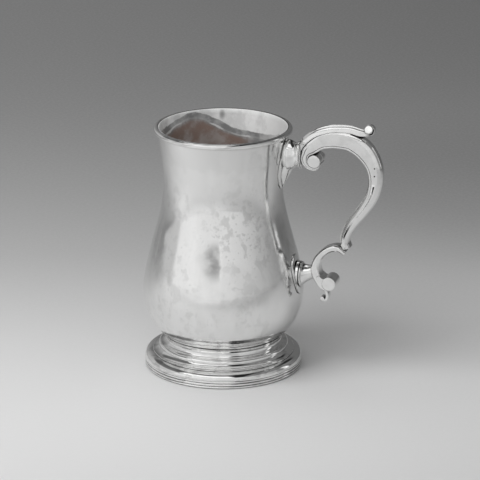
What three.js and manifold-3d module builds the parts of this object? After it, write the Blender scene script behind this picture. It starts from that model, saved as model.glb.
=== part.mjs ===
// A silver tankard of baluster form: a raised body on a moulded foot, with a double-scroll handle.
// Units are millimetres, +Z is up, the handle points along +X and the piece stands on Z = 0.

import * as THREE from 'three';
import { mergeVertices } from 'three/addons/utils/BufferGeometryUtils.js';
import Module from 'manifold-3d';

const wasm = await Module();
wasm.setup();

// Body: outside radii and heights above the table
const height = 133;
const rimDrop = 0.4;
const mouthRadius = 34.8;
const neckRadius = 31.7;
const neckDrop = 31;
const bellyRadius = 43.25;
const bellyHeight = 43;
const bottomHeight = 8.6;
const wall = 0.9;

// Lip moulding: a half-round wire round the mouth
const lipHeight = 2.8;
const lipProjection = 2.1;

// Foot, from its seat under the body down to the table
const seatHeight = 18.3;
const collarHeight = 2.9;
const collarLedge = 0.35;
const collarWall = 3.15;
const cavettoWidth = 2.8;
const beadHeight = 11.75;
const beadRadius = 1.25;
const shelfScoop = 1.2;
const shelfWidth = 4.4;
const shelfHeight = 8.9;
const rimStep = 0.6;
const ovoloWidth = 4.6;
const baseWireHeight = 4.4;
const baseWireWidth = 3.2;
const reedProjection = 0.7;
const footWall = 1.2;
const reeds = 3;

// Handle: its seats on the body, its reach and rise from the upper one, and its strap
const upperSeatDrop = 12;
const lowerSeatHeight = 54.5;
const upperReach = 10.17;
const backReach = 40.45;
const shoulderRise = 10.2;
const strapHalfWidth = 4.2;
const strapHalfThickness = 4.7;
const strapBevel = 1.2;
const castWall = 1.3;
const ventRadius = 0.4;
const ventReach = 40.1;
const ventDrop = 3.1;
const ventSpacing = 4.2;

// Volutes of the two scrolls: centres, radii, and the straps that wrap round them
const upperVoluteReach = 7.5;
const upperVoluteDrop = 1.8;
const upperDiscRadius = 3.3;
const upperDiscHalfWidth = 5.5;
const upperWrapThickness = 2;
const upperWrapGrowth = 1.95;
const lowerVoluteReach = 16.4;
const lowerVoluteDrop = 2.6;
const lowerDiscRadius = 3.25;
const lowerDiscHalfWidth = 5;
const lowerWrapThickness = 0.4;
const lowerWrapGrowth = 3.1;

// Upper seat: a drop applied to the neck, a waisted socket and a ringed collar
const dropGap = 0.4;
const dropLength = 28.2;
const dropHalfWidth = 3.9;
const dropEndHalfWidth = 0.7;
const dropThickness = 1.2;
const bulbRise = 9.4;
const bulbHalfLength = 9.6;
const bulbProjection = 6.8;
const socketHalfHeight = 7.2;
const socketHalfWidth = 4.9;
const socketWaist = 0.82;
const collarThickness = 1.6;
const collarProjection = 0.5;

// Leaf cap over the shoulder of the handle
const leafRise = 3;
const leafLift = 29;
const leafThickness = 3.4;
const leafTipThickness = 3.6;
const leafHalfWidth = 4.1;
const leafTipHalfWidth = 1.9;
const leafCurlReach = 36.4;
const leafCurlRise = 16.7;
const leafCurlRadius = 2.9;
const leafCurlHalfWidth = 2.2;
const leafFlutes = 5;
const fluteDepth = 0.5;
const leafCrown = 2;

// Lower scroll, its socket and plate, and the tail under it
const lowerStrapHalfWidth = 3.5;
const lowerBevel = 0.9;
const lowerScrollBack = 8.2;
const lowerScrollReach = 24.2;
const lowerScrollRise = 16.9;
const lowerHalfThickness = 2.2;
const lowerTipRise = 17.5;
const plateHalfHeight = 10.6;
const plateHalfWidth = 7.7;
const plateEndHalfWidth = 0.8;
const plateThickness = 1;
const lowerRingRadius = 7;
const lowerRingThickness = 1.3;
const lowerConeRadius = 5.6;
const lowerNeckRadius = 3.6;
const lowerNeckRise = 2.6;
const tailReach = 14.7;
const tailDrop = 13.2;
const tailHalfWidth = 2.2;
const tailHalfThickness = 0.9;
const tailBallRadius = 1.25;

// Gap left for solder between pieces that are cut to fit each other, and how far inside the body
// the sockets are drawn before the body's shape is cut from them
const solder = 0.3;
const socketDepth = 2;

// Fineness of the facets
const roundSides = 44;
const ovalSides = 24;
const upperSteps = 64;

const silver = (name, shade, roughness) =>
  new THREE.MeshStandardMaterial({ name, color: shade, metalness: 1, roughness });
const raisedSilver = silver('raised silver', 0xd9d8d4, 0.16);
const castSilver = silver('cast silver', 0xd3d2ce, 0.2);
const mouldedSilver = silver('moulded silver', 0xdededa, 0.12);

const vec = (x, y) => new THREE.Vector2(x, y);

// Points along a cubic curve from a to d, pulled towards b and c
function curve(a, b, c, d, steps) {
  return new THREE.CubicBezierCurve(a, b, c, d).getPoints(steps);
}

// Turns a geometry inside out when its faces point inwards
function outward(geometry) {
  const position = geometry.getAttribute('position');
  const index = geometry.getIndex().array;
  const corner = (k) => new THREE.Vector3().fromBufferAttribute(position, index[k]);
  let volume = 0;
  for (let k = 0; k < index.length; k += 3) {
    volume += corner(k).dot(corner(k + 1).cross(corner(k + 2)));
  }
  if (volume < 0) {
    for (let k = 0; k < index.length; k += 3) {
      [index[k], index[k + 1]] = [index[k + 1], index[k]];
    }
  }
  return geometry;
}

function fromPoints(points, faces) {
  const geometry = new THREE.BufferGeometry();
  geometry.setAttribute('position', new THREE.Float32BufferAttribute(points.flat(), 3));
  geometry.setIndex(faces.flat());
  return outward(geometry);
}

// A bare closed mesh: shared vertices merged, positions only
function closed(geometry) {
  const bare = geometry.clone();
  bare.deleteAttribute('normal');
  bare.deleteAttribute('uv');
  return outward(mergeVertices(bare, 1e-4));
}

function solid(geometry) {
  const bare = closed(geometry);
  return new wasm.Manifold(new wasm.Mesh({
    numProp: 3,
    vertProperties: new Float32Array(bare.getAttribute('position').array),
    triVerts: new Uint32Array(bare.getIndex().array),
  }));
}

function geometryOf(manifold) {
  const mesh = manifold.getMesh();
  const geometry = new THREE.BufferGeometry();
  geometry.setAttribute('position', new THREE.Float32BufferAttribute(mesh.vertProperties, 3));
  geometry.setIndex(Array.from(mesh.triVerts));
  return geometry;
}

// Turns a profile of (radius, height) points round the Z axis
function turned(profile) {
  const geometry = new THREE.LatheGeometry(profile, roundSides);
  geometry.rotateX(Math.PI / 2);
  return closed(geometry);
}

// Joins rings of equal length into a closed skin, with a flat cap on each end
function skinned(rings, capFaces) {
  const count = rings[0].length;
  const faces = [];
  for (let r = 0; r + 1 < rings.length; r += 1) {
    for (let k = 0; k < count; k += 1) {
      const a = r * count + k;
      const b = r * count + (k + 1) % count;
      faces.push([a, b, b + count], [a, b + count, a + count]);
    }
  }
  const last = (rings.length - 1) * count;
  for (const [a, b, c] of capFaces) {
    faces.push([c, b, a], [last + a, last + b, last + c]);
  }
  return fromPoints(rings.flat(), faces);
}

// Cap faces of a ring that runs out along one edge and back along the other
function ladder(steps) {
  const faces = [];
  for (let k = 0; k < steps; k += 1) {
    const facing = 2 * steps + 1 - k;
    faces.push([k, k + 1, facing - 1], [k, facing - 1, facing]);
  }
  return faces;
}

// The body's outside as three curves, from the mouth down; a pull is how far a curve keeps its course
const mouthHeight = height - lipHeight;
const neckHeight = height - neckDrop;
const upperSeatHeight = height - upperSeatDrop;
const neckPull = 17.4;
const bellyPull = 14.45;
const lowerPull = 33.15;
const bottomPull = 5.3;
const throatPull = 6.8;
const mouthPull = 10.8;
const mouthLean = 1.16;

const bodyCurves = [
  [vec(mouthRadius, mouthHeight), vec(mouthRadius - mouthLean, mouthHeight - mouthPull),
    vec(neckRadius, neckHeight + throatPull), vec(neckRadius, neckHeight)],
  [vec(neckRadius, neckHeight), vec(neckRadius, neckHeight - neckPull),
    vec(bellyRadius, bellyHeight + bellyPull), vec(bellyRadius, bellyHeight)],
  [vec(bellyRadius, bellyHeight), vec(bellyRadius, bellyHeight - lowerPull),
    vec(bottomPull, bottomHeight), vec(0, bottomHeight)],
];

function bodyOutline(steps) {
  const points = [vec(mouthRadius, height - rimDrop)];
  bodyCurves.forEach((ends, k) => {
    const part = curve(...ends, steps[k]);
    points.push(...(k === 0 ? part : part.slice(1)));
  });
  return points;
}

// The outline moved square to itself, inwards for a negative distance
function shifted(outline, distance) {
  return outline.map((point, k) => {
    const before = outline[Math.max(k - 1, 0)];
    const after = outline[Math.min(k + 1, outline.length - 1)];
    const along = after.clone().sub(before).normalize();
    return vec(Math.max(point.x - along.y * distance, 0), point.y + along.x * distance);
  });
}

const fineOutline = bodyOutline([40, 60, 80]);

// Outside radius of the body at a height
function bodyRadius(z) {
  const k = fineOutline.findIndex((point) => point.y <= z);
  if (k < 1) return mouthRadius;
  const [above, below] = [fineOutline[k - 1], fineOutline[k]];
  return THREE.MathUtils.mapLinear(z, above.y, below.y, above.x, below.x);
}

function makeBody() {
  const outside = bodyOutline([5, 10, 12]);
  const inside = shifted(bodyOutline([4, 8, 9]), -wall);
  inside[0].y = outside[0].y;
  inside[inside.length - 1] = vec(0, bottomHeight + wall);
  return turned([...outside.reverse(), ...inside]);
}

// The body filled in and grown by a clearance, to cut its neighbours with
function bodyCutter() {
  const grown = bodyOutline([12, 20, 20]).map((point) => vec(point.x + solder, point.y));
  grown[grown.length - 1] = vec(0, bottomHeight - solder);
  const top = height + socketDepth;
  return solid(turned([vec(0, top), vec(mouthRadius + solder, top), ...grown]));
}

function makeLip() {
  const inner = mouthRadius + solder;
  const wire = new THREE.EllipseCurve(inner, height - lipHeight / 2, lipProjection - solder,
    lipHeight / 2, -Math.PI / 2, Math.PI / 2);
  const points = wire.getPoints(8);
  return turned([...points, points[0]]);
}

// Foot pieces, from the top down, each spreading outwards from the body's radius at the collar
const collarFoot = seatHeight - collarHeight;
const collarRadius = bodyRadius(seatHeight) + collarLedge;
const collarWaist = bodyRadius(collarFoot) + collarWall;
const beadRingRadius = collarWaist + cavettoWidth;
const shelfRadius = beadRingRadius + shelfWidth;
const baseRadius = shelfRadius + ovoloWidth;

function makeFootCollar() {
  const inner = [];
  const rows = 4;
  for (let k = 0; k <= rows; k += 1) {
    const z = collarFoot + (collarHeight * k) / rows;
    inner.push(vec(bodyRadius(z) + solder, z));
  }
  inner.pop();
  const scoop = new THREE.QuadraticBezierCurve(vec(collarRadius, seatHeight),
    vec(collarWaist, seatHeight - collarHeight / 2), vec(collarWaist, collarFoot));
  return turned([...inner, ...scoop.getPoints(3), inner[0]]);
}

function makeFootSkirt() {
  const beadTop = beadHeight + beadRadius;
  const cavetto = new THREE.QuadraticBezierCurve(vec(collarWaist, collarFoot),
    vec(collarWaist, beadTop), vec(beadRingRadius, beadTop));
  const bead = new THREE.EllipseCurve(beadRingRadius, beadHeight, beadRadius, beadRadius,
    Math.PI / 2, -Math.PI / 3, true);
  const beadFoot = bead.getPoint(1);
  const shelf = new THREE.QuadraticBezierCurve(beadFoot, vec(beadFoot.x + shelfScoop, shelfHeight),
    vec(shelfRadius, shelfHeight));
  const ovolo = new THREE.QuadraticBezierCurve(vec(shelfRadius, shelfHeight - rimStep),
    vec(baseRadius, shelfHeight - rimStep), vec(baseRadius, baseWireHeight));
  const outside = [...cavetto.getPoints(4), ...bead.getPoints(5).slice(1), ...shelf.getPoints(3).slice(1),
    ...ovolo.getPoints(6)];
  const under = shelfHeight - rimStep - footWall;
  const ovoloInside = new THREE.QuadraticBezierCurve(vec(shelfRadius - footWall, under),
    vec(baseRadius - footWall, under), vec(baseRadius - footWall, baseWireHeight));
  const inside = [
    vec(collarWaist - footWall, collarFoot),
    vec(collarWaist - footWall, beadTop + footWall),
    vec(beadRingRadius - footWall, beadHeight),
    vec(beadRingRadius - footWall, shelfHeight),
    ...ovoloInside.getPoints(4),
  ].reverse();
  return turned([...outside, ...inside, outside[0]]);
}

function makeBaseWire() {
  const outside = [];
  const reedHeight = baseWireHeight / reeds;
  for (let k = reeds - 1; k >= 0; k -= 1) {
    const reed = new THREE.EllipseCurve(baseRadius - reedProjection, (k + 0.5) * reedHeight,
      reedProjection, reedHeight / 2, Math.PI / 2, -Math.PI / 2, true);
    outside.push(...reed.getPoints(4).slice(k === reeds - 1 ? 0 : 1));
  }
  const inner = baseRadius - baseWireWidth;
  return turned([...outside, vec(inner, 0), vec(inner, baseWireHeight), outside[0]]);
}

// Paths of the handle in its own plane: x, z and half thickness. The upper scroll is drawn from the
// collar's centre, the lower scroll and the tail from the same reach at the height of the lower seat.
const seatFace = bodyRadius(upperSeatHeight) + upperReach;

// A strap wrapped clockwise round a disc, growing thicker as it leaves it
function wrap({ centre, disc, turn, steps, start, growth }) {
  const points = [];
  for (let k = 0; k <= steps; k += 1) {
    const degrees = (turn * k) / steps;
    const thickness = start + growth * (degrees / 90) ** 1.6;
    const angle = THREE.MathUtils.degToRad(-90 - degrees);
    const reach = disc + thickness / 2;
    points.push([centre[0] + reach * Math.cos(angle), centre[1] + reach * Math.sin(angle), thickness / 2]);
  }
  return points;
}

// A path drawn in shares of a reach, of a rise above its seat or a drop below it, and of a half thickness
function drawn(points, { reach, rise, drop, half }) {
  return points.map(([x, z, h]) => [x * reach, z * (z > 0 ? rise : drop), h * half]);
}

// The upper scroll ends on the lower scroll's tip
const scrollDrop = upperSeatHeight - lowerSeatHeight - lowerTipRise;
const upperVolute = [upperVoluteReach, -upperVoluteDrop];
const lowerVolute = [lowerVoluteReach, -lowerVoluteDrop];

const upperPath = [
  ...wrap({
    centre: upperVolute, disc: upperDiscRadius, turn: 163, steps: 5,
    start: upperWrapThickness, growth: upperWrapGrowth,
  }),
  ...drawn([
    [0.25, 0.804, 0.809], [0.373, 0.951, 0.872], [0.499, 1, 0.915], [0.67, 0.941, 0.979],
    [0.838, 0.549, 1], [0.964, -0.041, 0.83], [1, -0.208, 0.755], [0.944, -0.402, 0.713],
    [0.811, -0.578, 0.681], [0.687, -0.714, 0.638], [0.608, -0.837, 0.532], [0.588, -0.929, 0.447],
    [0.613, -1, 0.489],
  ], { reach: backReach, rise: shoulderRise, drop: scrollDrop, half: strapHalfThickness }),
];

const lowerPath = [
  ...wrap({
    centre: lowerVolute, disc: lowerDiscRadius, turn: 90, steps: 3,
    start: lowerWrapThickness, growth: lowerWrapGrowth,
  }),
  ...drawn([
    [0.339, 0.172, 1], [0.355, 0.491, 0.909], [0.479, 0.769, 0.864], [0.649, 0.947, 0.795],
    [0.835, 1, 0.773], [1, 0.858, 0.545],
  ], { reach: lowerScrollReach, rise: lowerScrollRise, half: lowerHalfThickness }),
];

const tailPath = drawn([
  [0.871, -0.447, 1], [0.966, -0.644, 1], [1, -0.803, 0.944], [0.959, -0.947, 0.889],
  [0.878, -1, 0.889],
], { reach: tailReach, drop: tailDrop, half: tailHalfThickness });
const tailBall = [0.81 * tailReach, -0.924 * tailDrop];

// Both edges of a strap as one closed outline, drawn in by an inset
function strapOutline({ path, seat, inset, steps, from = 0, to = 1 }) {
  const line = new THREE.CatmullRomCurve3(path.map((p) => new THREE.Vector3(...p)), false, 'catmullrom', 0.5);
  const left = [];
  const right = [];
  for (let k = 0; k <= steps; k += 1) {
    const t = from + ((to - from) * k) / steps;
    const point = line.getPoint(t);
    const along = line.getPoint(Math.min(t + 1e-3, 1)).sub(line.getPoint(Math.max(t - 1e-3, 0)));
    const across = vec(-along.y, along.x).normalize();
    const half = Math.max(point.z - inset, 0.12);
    left.push(vec(seatFace + point.x + across.x * half, seat + point.y + across.y * half));
    right.push(vec(seatFace + point.x - across.x * half, seat + point.y - across.y * half));
  }
  return [...left, ...right.reverse()];
}

// Stacks strap outlines of equal length at the given depths along Y
function stacked(outlines, depths) {
  const rings = outlines.map((outline, k) => outline.map((p) => [p.x, depths[k], p.y]));
  return skinned(rings, ladder(outlines[0].length / 2 - 1));
}

// A round pin along Y from near to far, its centre given as in a path
function disc({ centre, seat, radius, near, far }) {
  const geometry = new THREE.CylinderGeometry(radius, radius, far - near, ovalSides);
  geometry.translate(seatFace + centre[0], (near + far) / 2, seat + centre[1]);
  return solid(geometry);
}

// The lower scroll grown by a clearance, to cut its neighbours with
function lowerScrollSolid(clearance) {
  const outer = lowerStrapHalfWidth + clearance;
  const inner = outer - lowerBevel;
  const insets = [lowerBevel - clearance, -clearance, -clearance, lowerBevel - clearance];
  const depths = [-outer, -inner, inner, outer];
  const seat = lowerSeatHeight;
  const outlines = insets.map((inset) => strapOutline({ path: lowerPath, seat, inset, steps: 40 }));
  const reach = lowerDiscHalfWidth + clearance;
  const volute = disc({
    centre: lowerVolute, seat, radius: lowerDiscRadius + clearance, near: -reach, far: reach,
  });
  return solid(stacked(outlines, depths)).add(volute);
}

// Everything on the body's side of the collar's outer face
function collarCutter() {
  const size = 40;
  const block = new THREE.BoxGeometry(size, size, size);
  block.translate(seatFace - size / 2, 0, upperSeatHeight);
  return solid(block);
}

// One of the two cast halves of the upper scroll, hollow on its inner face; side is -1 or 1
const hollowStart = 0.36;
const hollowEnd = 0.9;

function makeUpperHalf(side, cutter) {
  const seat = upperSeatHeight;
  const insets = [0, 0, strapBevel];
  const depths = [0, side * (strapHalfWidth - strapBevel), side * strapHalfWidth];
  const strap = solid(stacked(insets.map((inset) => strapOutline({
    path: upperPath, seat, inset, steps: upperSteps,
  })), depths));
  const hollow = strapOutline({
    path: upperPath, seat, inset: castWall, steps: 36, from: hollowStart, to: hollowEnd,
  });
  const pocket = solid(stacked([hollow, hollow], [-side * castWall, side * (strapHalfWidth - castWall)]));
  const [near, far] = [0, side * upperDiscHalfWidth].sort((a, b) => a - b);
  const volute = disc({ centre: upperVolute, seat, radius: upperDiscRadius, near, far });
  let half = strap.add(volute).subtract(pocket);
  for (let k = 0; side < 0 && k < 2; k += 1) {
    const centre = [ventReach, -ventDrop - k * ventSpacing];
    const far = 1.5 * castWall - strapHalfWidth;
    half = half.subtract(disc({ centre, seat, radius: ventRadius, near: -2 * strapHalfWidth, far }));
  }
  return geometryOf(half.subtract(cutter).subtract(collarCutter()));
}

// A plate of even thickness on the body between two heights; a grown one sinks into the body
function applied({ low, high, halfWidth, thickness, clearance = 0 }) {
  const rows = 14;
  const columns = 8;
  const rings = [];
  for (let r = 0; r <= rows; r += 1) {
    const z = THREE.MathUtils.lerp(low - clearance, high + clearance, r / rows);
    const reach = halfWidth(THREE.MathUtils.clamp(r / rows, 0, 1)) + clearance;
    const row = (offset) => {
      const radius = bodyRadius(z) + offset;
      return Array.from({ length: columns + 1 }, (_, c) => {
        const y = reach * ((2 * c) / columns - 1);
        return [Math.sqrt(radius * radius - y * y), y, z];
      });
    };
    rings.push([...row(solder - 4 * clearance), ...row(solder + thickness + clearance).reverse()]);
  }
  return skinned(rings, ladder(columns));
}

const dropTip = mouthHeight - dropGap - dropLength;
const bulbHeight = dropTip + bulbRise;

function dropSolid(clearance) {
  const plate = solid(applied({
    low: dropTip,
    high: dropTip + dropLength,
    halfWidth: (t) => THREE.MathUtils.lerp(dropEndHalfWidth, dropHalfWidth, Math.sin(Math.PI * t)),
    thickness: dropThickness,
    clearance,
  }));
  const bulb = new THREE.SphereGeometry(1, ovalSides, 14);
  bulb.scale(bulbProjection + clearance, dropHalfWidth + clearance, bulbHalfLength + clearance);
  bulb.translate(bodyRadius(bulbHeight) + solder, 0, bulbHeight);
  return plate.add(solid(bulb));
}

function plateGeometry(clearance) {
  return applied({
    low: lowerSeatHeight - plateHalfHeight,
    high: lowerSeatHeight + plateHalfHeight,
    halfWidth: (t) => THREE.MathUtils.lerp(plateEndHalfWidth, plateHalfWidth,
      Math.sqrt(1 - (2 * t - 1) ** 2)),
    thickness: plateThickness,
    clearance,
  });
}

// A tube of oval sections square to X; each station is x, centre height, half height, half width
function ovalTube(stations) {
  const rings = stations.map(([x, z, tall, wide]) => Array.from({ length: ovalSides }, (_, k) => {
    const angle = (2 * Math.PI * k) / ovalSides;
    return [x, wide * Math.cos(angle), z + tall * Math.sin(angle)];
  }));
  const caps = Array.from({ length: ovalSides - 2 }, (_, k) => [0, k + 1, k + 2]);
  return skinned(rings, caps);
}

// From the neck to the collar, waisted in its outer part
function makeUpperSocket(cutter) {
  const start = bodyRadius(upperSeatHeight) - socketDepth;
  const end = seatFace - collarThickness;
  const waistStart = 0.4;
  const steps = 10;
  const stations = Array.from({ length: steps + 1 }, (_, k) => {
    const share = Math.max((k / steps - waistStart) / (1 - waistStart), 0);
    const swell = THREE.MathUtils.lerp(1, socketWaist, Math.sin(Math.PI * share) ** 2);
    return [THREE.MathUtils.lerp(start, end, k / steps), upperSeatHeight, swell * socketHalfHeight,
      swell * socketHalfWidth];
  });
  return geometryOf(solid(ovalTube(stations)).subtract(cutter).subtract(dropSolid(solder)));
}

// Two beads round the root of the handle: from, to and rise as shares of the collar's sizes
function makeCollar() {
  const beads = [[0, 0.6, 1], [0.6, 1, 0.6]];
  const steps = 4;
  const stations = beads.flatMap(([from, to, rise], bead) => Array.from({ length: steps + 1 }, (_, k) => {
    const x = seatFace - collarThickness * (1 - THREE.MathUtils.lerp(from, to, k / steps));
    const swell = rise * Math.sin(Math.PI * k / steps) * collarProjection;
    return [x, upperSeatHeight, socketHalfHeight + swell, socketHalfWidth + swell];
  }).slice(bead === 0 ? 0 : 1));
  return ovalTube(stations);
}

// From the plate on the belly to the back of the lower scroll: a ring, then a cone that hollows inwards
function makeLowerSocket(cutter, scroll) {
  const start = bodyRadius(lowerSeatHeight) - socketDepth;
  const ringFace = bodyRadius(lowerSeatHeight) + solder + plateThickness + lowerRingThickness;
  const end = seatFace + lowerScrollBack;
  const flatness = 0.92;
  const steps = 6;
  const ring = [lowerSeatHeight, lowerRingRadius, lowerRingRadius * flatness];
  const stations = [[start, ...ring], [ringFace, ...ring]];
  for (let k = 0; k <= steps; k += 1) {
    const share = k / steps;
    const radius = THREE.MathUtils.lerp(lowerConeRadius, lowerNeckRadius, 1 - (1 - share) ** 2);
    const x = THREE.MathUtils.lerp(ringFace, end, share);
    stations.push([x, lowerSeatHeight + share * lowerNeckRise, radius, radius * flatness]);
  }
  return geometryOf(solid(ovalTube(stations)).subtract(cutter).subtract(solid(plateGeometry(solder)))
    .subtract(scroll));
}

// Leaf cap: a fluted strip laid over the outer edge of the upper scroll, lifting off it into a curl
const leafCurl = [leafCurlReach, leafCurlRise];

function makeLeaf() {
  const outer = strapOutline({
    path: upperPath, seat: upperSeatHeight, inset: -solder, steps: upperSteps,
  }).slice(0, upperSteps + 1);
  const first = outer.findIndex((p) => p.y > upperSeatHeight + leafRise);
  const last = outer.findIndex((p, k) => k > first && p.x > seatFace + leafLift);
  const [before, lift] = outer.slice(last - 1, last + 1);
  const curlFoot = vec(seatFace + leafCurl[0], upperSeatHeight + leafCurl[1] - leafCurlRadius);
  const bend = lift.clone().add(lift.clone().sub(before).setLength((curlFoot.x - lift.x) / 2));
  const tip = new THREE.QuadraticBezierCurve(lift, bend, curlFoot).getPoints(6);
  const seat = [...outer.slice(first, last), ...tip];
  const rings = seat.map((point, k) => {
    const share = k / (seat.length - 1);
    const along = seat[Math.min(k + 1, seat.length - 1)].clone().sub(seat[Math.max(k - 1, 0)]);
    const up = vec(-along.y, along.x).normalize();
    const halfWidth = THREE.MathUtils.lerp(leafHalfWidth, leafTipHalfWidth, share * share);
    const thickness = THREE.MathUtils.lerp(leafThickness, leafTipThickness, share);
    const top = Array.from({ length: 2 * leafFlutes + 1 }, (_, c) => {
      const u = c / leafFlutes - 1;
      const rise = thickness - leafCrown * u * u - (c % 2 === 0 ? 0 : fluteDepth);
      return [point.x + up.x * rise, u * halfWidth, point.y + up.y * rise];
    });
    return [...top, [point.x, halfWidth, point.y], [point.x, -halfWidth, point.y]];
  });
  const count = rings[0].length;
  const caps = Array.from({ length: count - 2 }, (_, k) => [count - 1, k, k + 1]);
  const curl = disc({
    centre: leafCurl,
    seat: upperSeatHeight,
    radius: leafCurlRadius,
    near: -leafCurlHalfWidth,
    far: leafCurlHalfWidth,
  });
  return geometryOf(solid(skinned(rings, caps)).add(curl).subtract(collarCutter()));
}

function makeTail(scroll) {
  const seat = lowerSeatHeight;
  const outline = strapOutline({ path: tailPath, seat, inset: 0, steps: 10 });
  const strap = solid(stacked([outline, outline], [-tailHalfWidth, tailHalfWidth]));
  const ball = disc({
    centre: tailBall, seat, radius: tailBallRadius, near: -tailHalfWidth, far: tailHalfWidth,
  });
  return geometryOf(strap.add(ball).subtract(scroll));
}

const model = new THREE.Group();

function add(name, geometry, material) {
  const mesh = new THREE.Mesh(geometry, material);
  mesh.name = name;
  model.add(mesh);
}

const cutBody = bodyCutter();
const cutScroll = lowerScrollSolid(solder);

add('body', makeBody(), raisedSilver);
add('lip_moulding', makeLip(), mouldedSilver);
add('foot_collar', makeFootCollar(), mouldedSilver);
add('foot_skirt', makeFootSkirt(), mouldedSilver);
add('foot_base_wire', makeBaseWire(), mouldedSilver);
add('upper_drop', geometryOf(dropSolid(0).subtract(cutBody)), castSilver);
add('upper_socket', makeUpperSocket(cutBody), castSilver);
add('handle_collar', makeCollar(), castSilver);
add('handle_half_left', makeUpperHalf(-1, cutScroll), castSilver);
add('handle_half_right', makeUpperHalf(1, cutScroll), castSilver);
add('leaf_cap', makeLeaf(), castSilver);
add('lower_scroll', geometryOf(lowerScrollSolid(0)), castSilver);
add('lower_socket', makeLowerSocket(cutBody, cutScroll), castSilver);
add('lower_plate', plateGeometry(0), castSilver);
add('tail_curl', makeTail(cutScroll), castSilver);

// The origin is under the middle of the whole piece, handle included
const extent = new THREE.Box3().setFromObject(model);
model.position.x = -(extent.min.x + extent.max.x) / 2;

const tankard = new THREE.Group();
tankard.name = 'tankard';
tankard.add(model);

export default tankard;
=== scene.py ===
# A silver tankard of baluster form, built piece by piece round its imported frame.
# Everything is in metres, in the frame's own axes: +Z up, +X from the body towards the handle.

import math

import bmesh
import bpy
import numpy as np
from bpy.props import FloatProperty, FloatVectorProperty, IntProperty, PointerProperty
from bpy.types import Operator, Panel, PropertyGroup
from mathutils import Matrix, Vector, noise


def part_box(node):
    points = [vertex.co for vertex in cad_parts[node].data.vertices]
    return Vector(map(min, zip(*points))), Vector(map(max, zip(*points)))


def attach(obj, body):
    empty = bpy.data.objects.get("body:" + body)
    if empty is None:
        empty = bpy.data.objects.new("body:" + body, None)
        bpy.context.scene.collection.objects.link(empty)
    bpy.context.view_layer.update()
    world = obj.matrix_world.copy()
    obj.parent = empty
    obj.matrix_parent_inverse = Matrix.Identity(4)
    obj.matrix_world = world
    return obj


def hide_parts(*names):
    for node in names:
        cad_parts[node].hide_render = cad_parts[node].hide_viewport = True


bl_info = {
    "name": "Silver tankard",
    "version": (1, 0, 0),
    "blender": (4, 5, 0),
    "location": "View3D > Sidebar > Tankard",
    "description": "Builds a silver tankard with a double-scroll handle round its packed frame",
    "category": "Add Mesh",
}

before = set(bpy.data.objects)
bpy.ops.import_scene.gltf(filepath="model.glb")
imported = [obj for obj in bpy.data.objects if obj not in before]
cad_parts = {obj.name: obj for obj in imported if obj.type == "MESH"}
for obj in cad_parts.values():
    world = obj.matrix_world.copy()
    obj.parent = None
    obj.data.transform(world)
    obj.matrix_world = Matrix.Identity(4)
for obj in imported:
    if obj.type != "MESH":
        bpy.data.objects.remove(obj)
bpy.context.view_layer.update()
BODY_LOW, BODY_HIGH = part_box("body")
AXIS = (BODY_LOW[0] + BODY_HIGH[0]) / 2
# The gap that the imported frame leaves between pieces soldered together
SOLDER = 0.0003


# Properties

def length(name, description, default):
    return FloatProperty(name=name, description=description, default=default, unit="LENGTH", precision=5)


def factor(name, description, default):
    return FloatProperty(name=name, description=description, default=default, subtype="FACTOR")


def rotation(name, description, degrees):
    return FloatProperty(
        name=name, description=description, default=math.radians(degrees), unit="ROTATION"
    )


def colour(name, description, default):
    return FloatVectorProperty(
        name=name, description=description, default=default, subtype="COLOR", size=3, min=0, max=1
    )


class TankardBodySizes(PropertyGroup):
    height: length("Height", "Table to the top of the lip", 0.133)
    mouth_radius: length("Mouth radius", "Outside of the body at the mouth", 0.0348)
    neck_radius: length("Neck radius", "Outside of the body at its neck", 0.0317)
    neck_drop: length("Neck drop", "From the lip down to the neck", 0.031)
    belly_radius: length("Belly radius", "Outside of the body at its widest", 0.04325)
    belly_height: length("Belly height", "Table to the widest part of the body", 0.043)
    bottom_height: length("Bottom height", "Table to the underside of the body", 0.0086)
    wall: length("Wall", "Thickness of the raised sheet", 0.0009)
    lip_height: length("Lip height", "Height of the wire round the mouth", 0.0028)
    lip_projection: length("Lip projection", "How far the wire stands out from the body", 0.0021)
    sides: IntProperty(name="Sides", description="Facets round the body", default=320)
    hammering: length("Hammering", "Depth of the soft waves left by raising", 0.0002)
    dent_depth: length("Dent depth", "Depth of the dent on the belly", 0.0005)


class TankardFootSizes(PropertyGroup):
    seat_height: length("Seat height", "Table to the body's seat in the foot", 0.0183)
    collar_height: length("Collar height", "Height of the fillet under the seat", 0.0029)
    collar_radius: length("Collar radius", "Outside of the fillet at the seat", 0.0323)
    waist_radius: length("Waist radius", "Narrowest part of the foot", 0.0308)
    bead_ring: length("Bead ring radius", "Radius of the bead's centre line", 0.0336)
    bead_height: length("Bead height", "Table to the bead's centre line", 0.01175)
    bead_radius: length("Bead radius", "Radius of the bead itself", 0.00125)
    shelf_radius: length("Shelf radius", "Outer edge of the shelf under the bead", 0.038)
    shelf_height: length("Shelf height", "Table to the shelf", 0.0089)
    rim_step: length("Rim step", "Drop from the shelf to the swelling edge", 0.0006)
    base_radius: length("Base radius", "Outside of the foot at the table", 0.0426)
    wire_height: length("Wire height", "Height of the reeded wire", 0.0044)
    wire_width: length("Wire width", "Width of the reeded wire", 0.0032)
    reed_projection: length("Reed projection", "Depth of each reed", 0.0007)
    wall: length("Wall", "Thickness of the foot's sheet", 0.0012)
    reeds: IntProperty(name="Reeds", description="Reeds in the wire", default=3)


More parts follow.
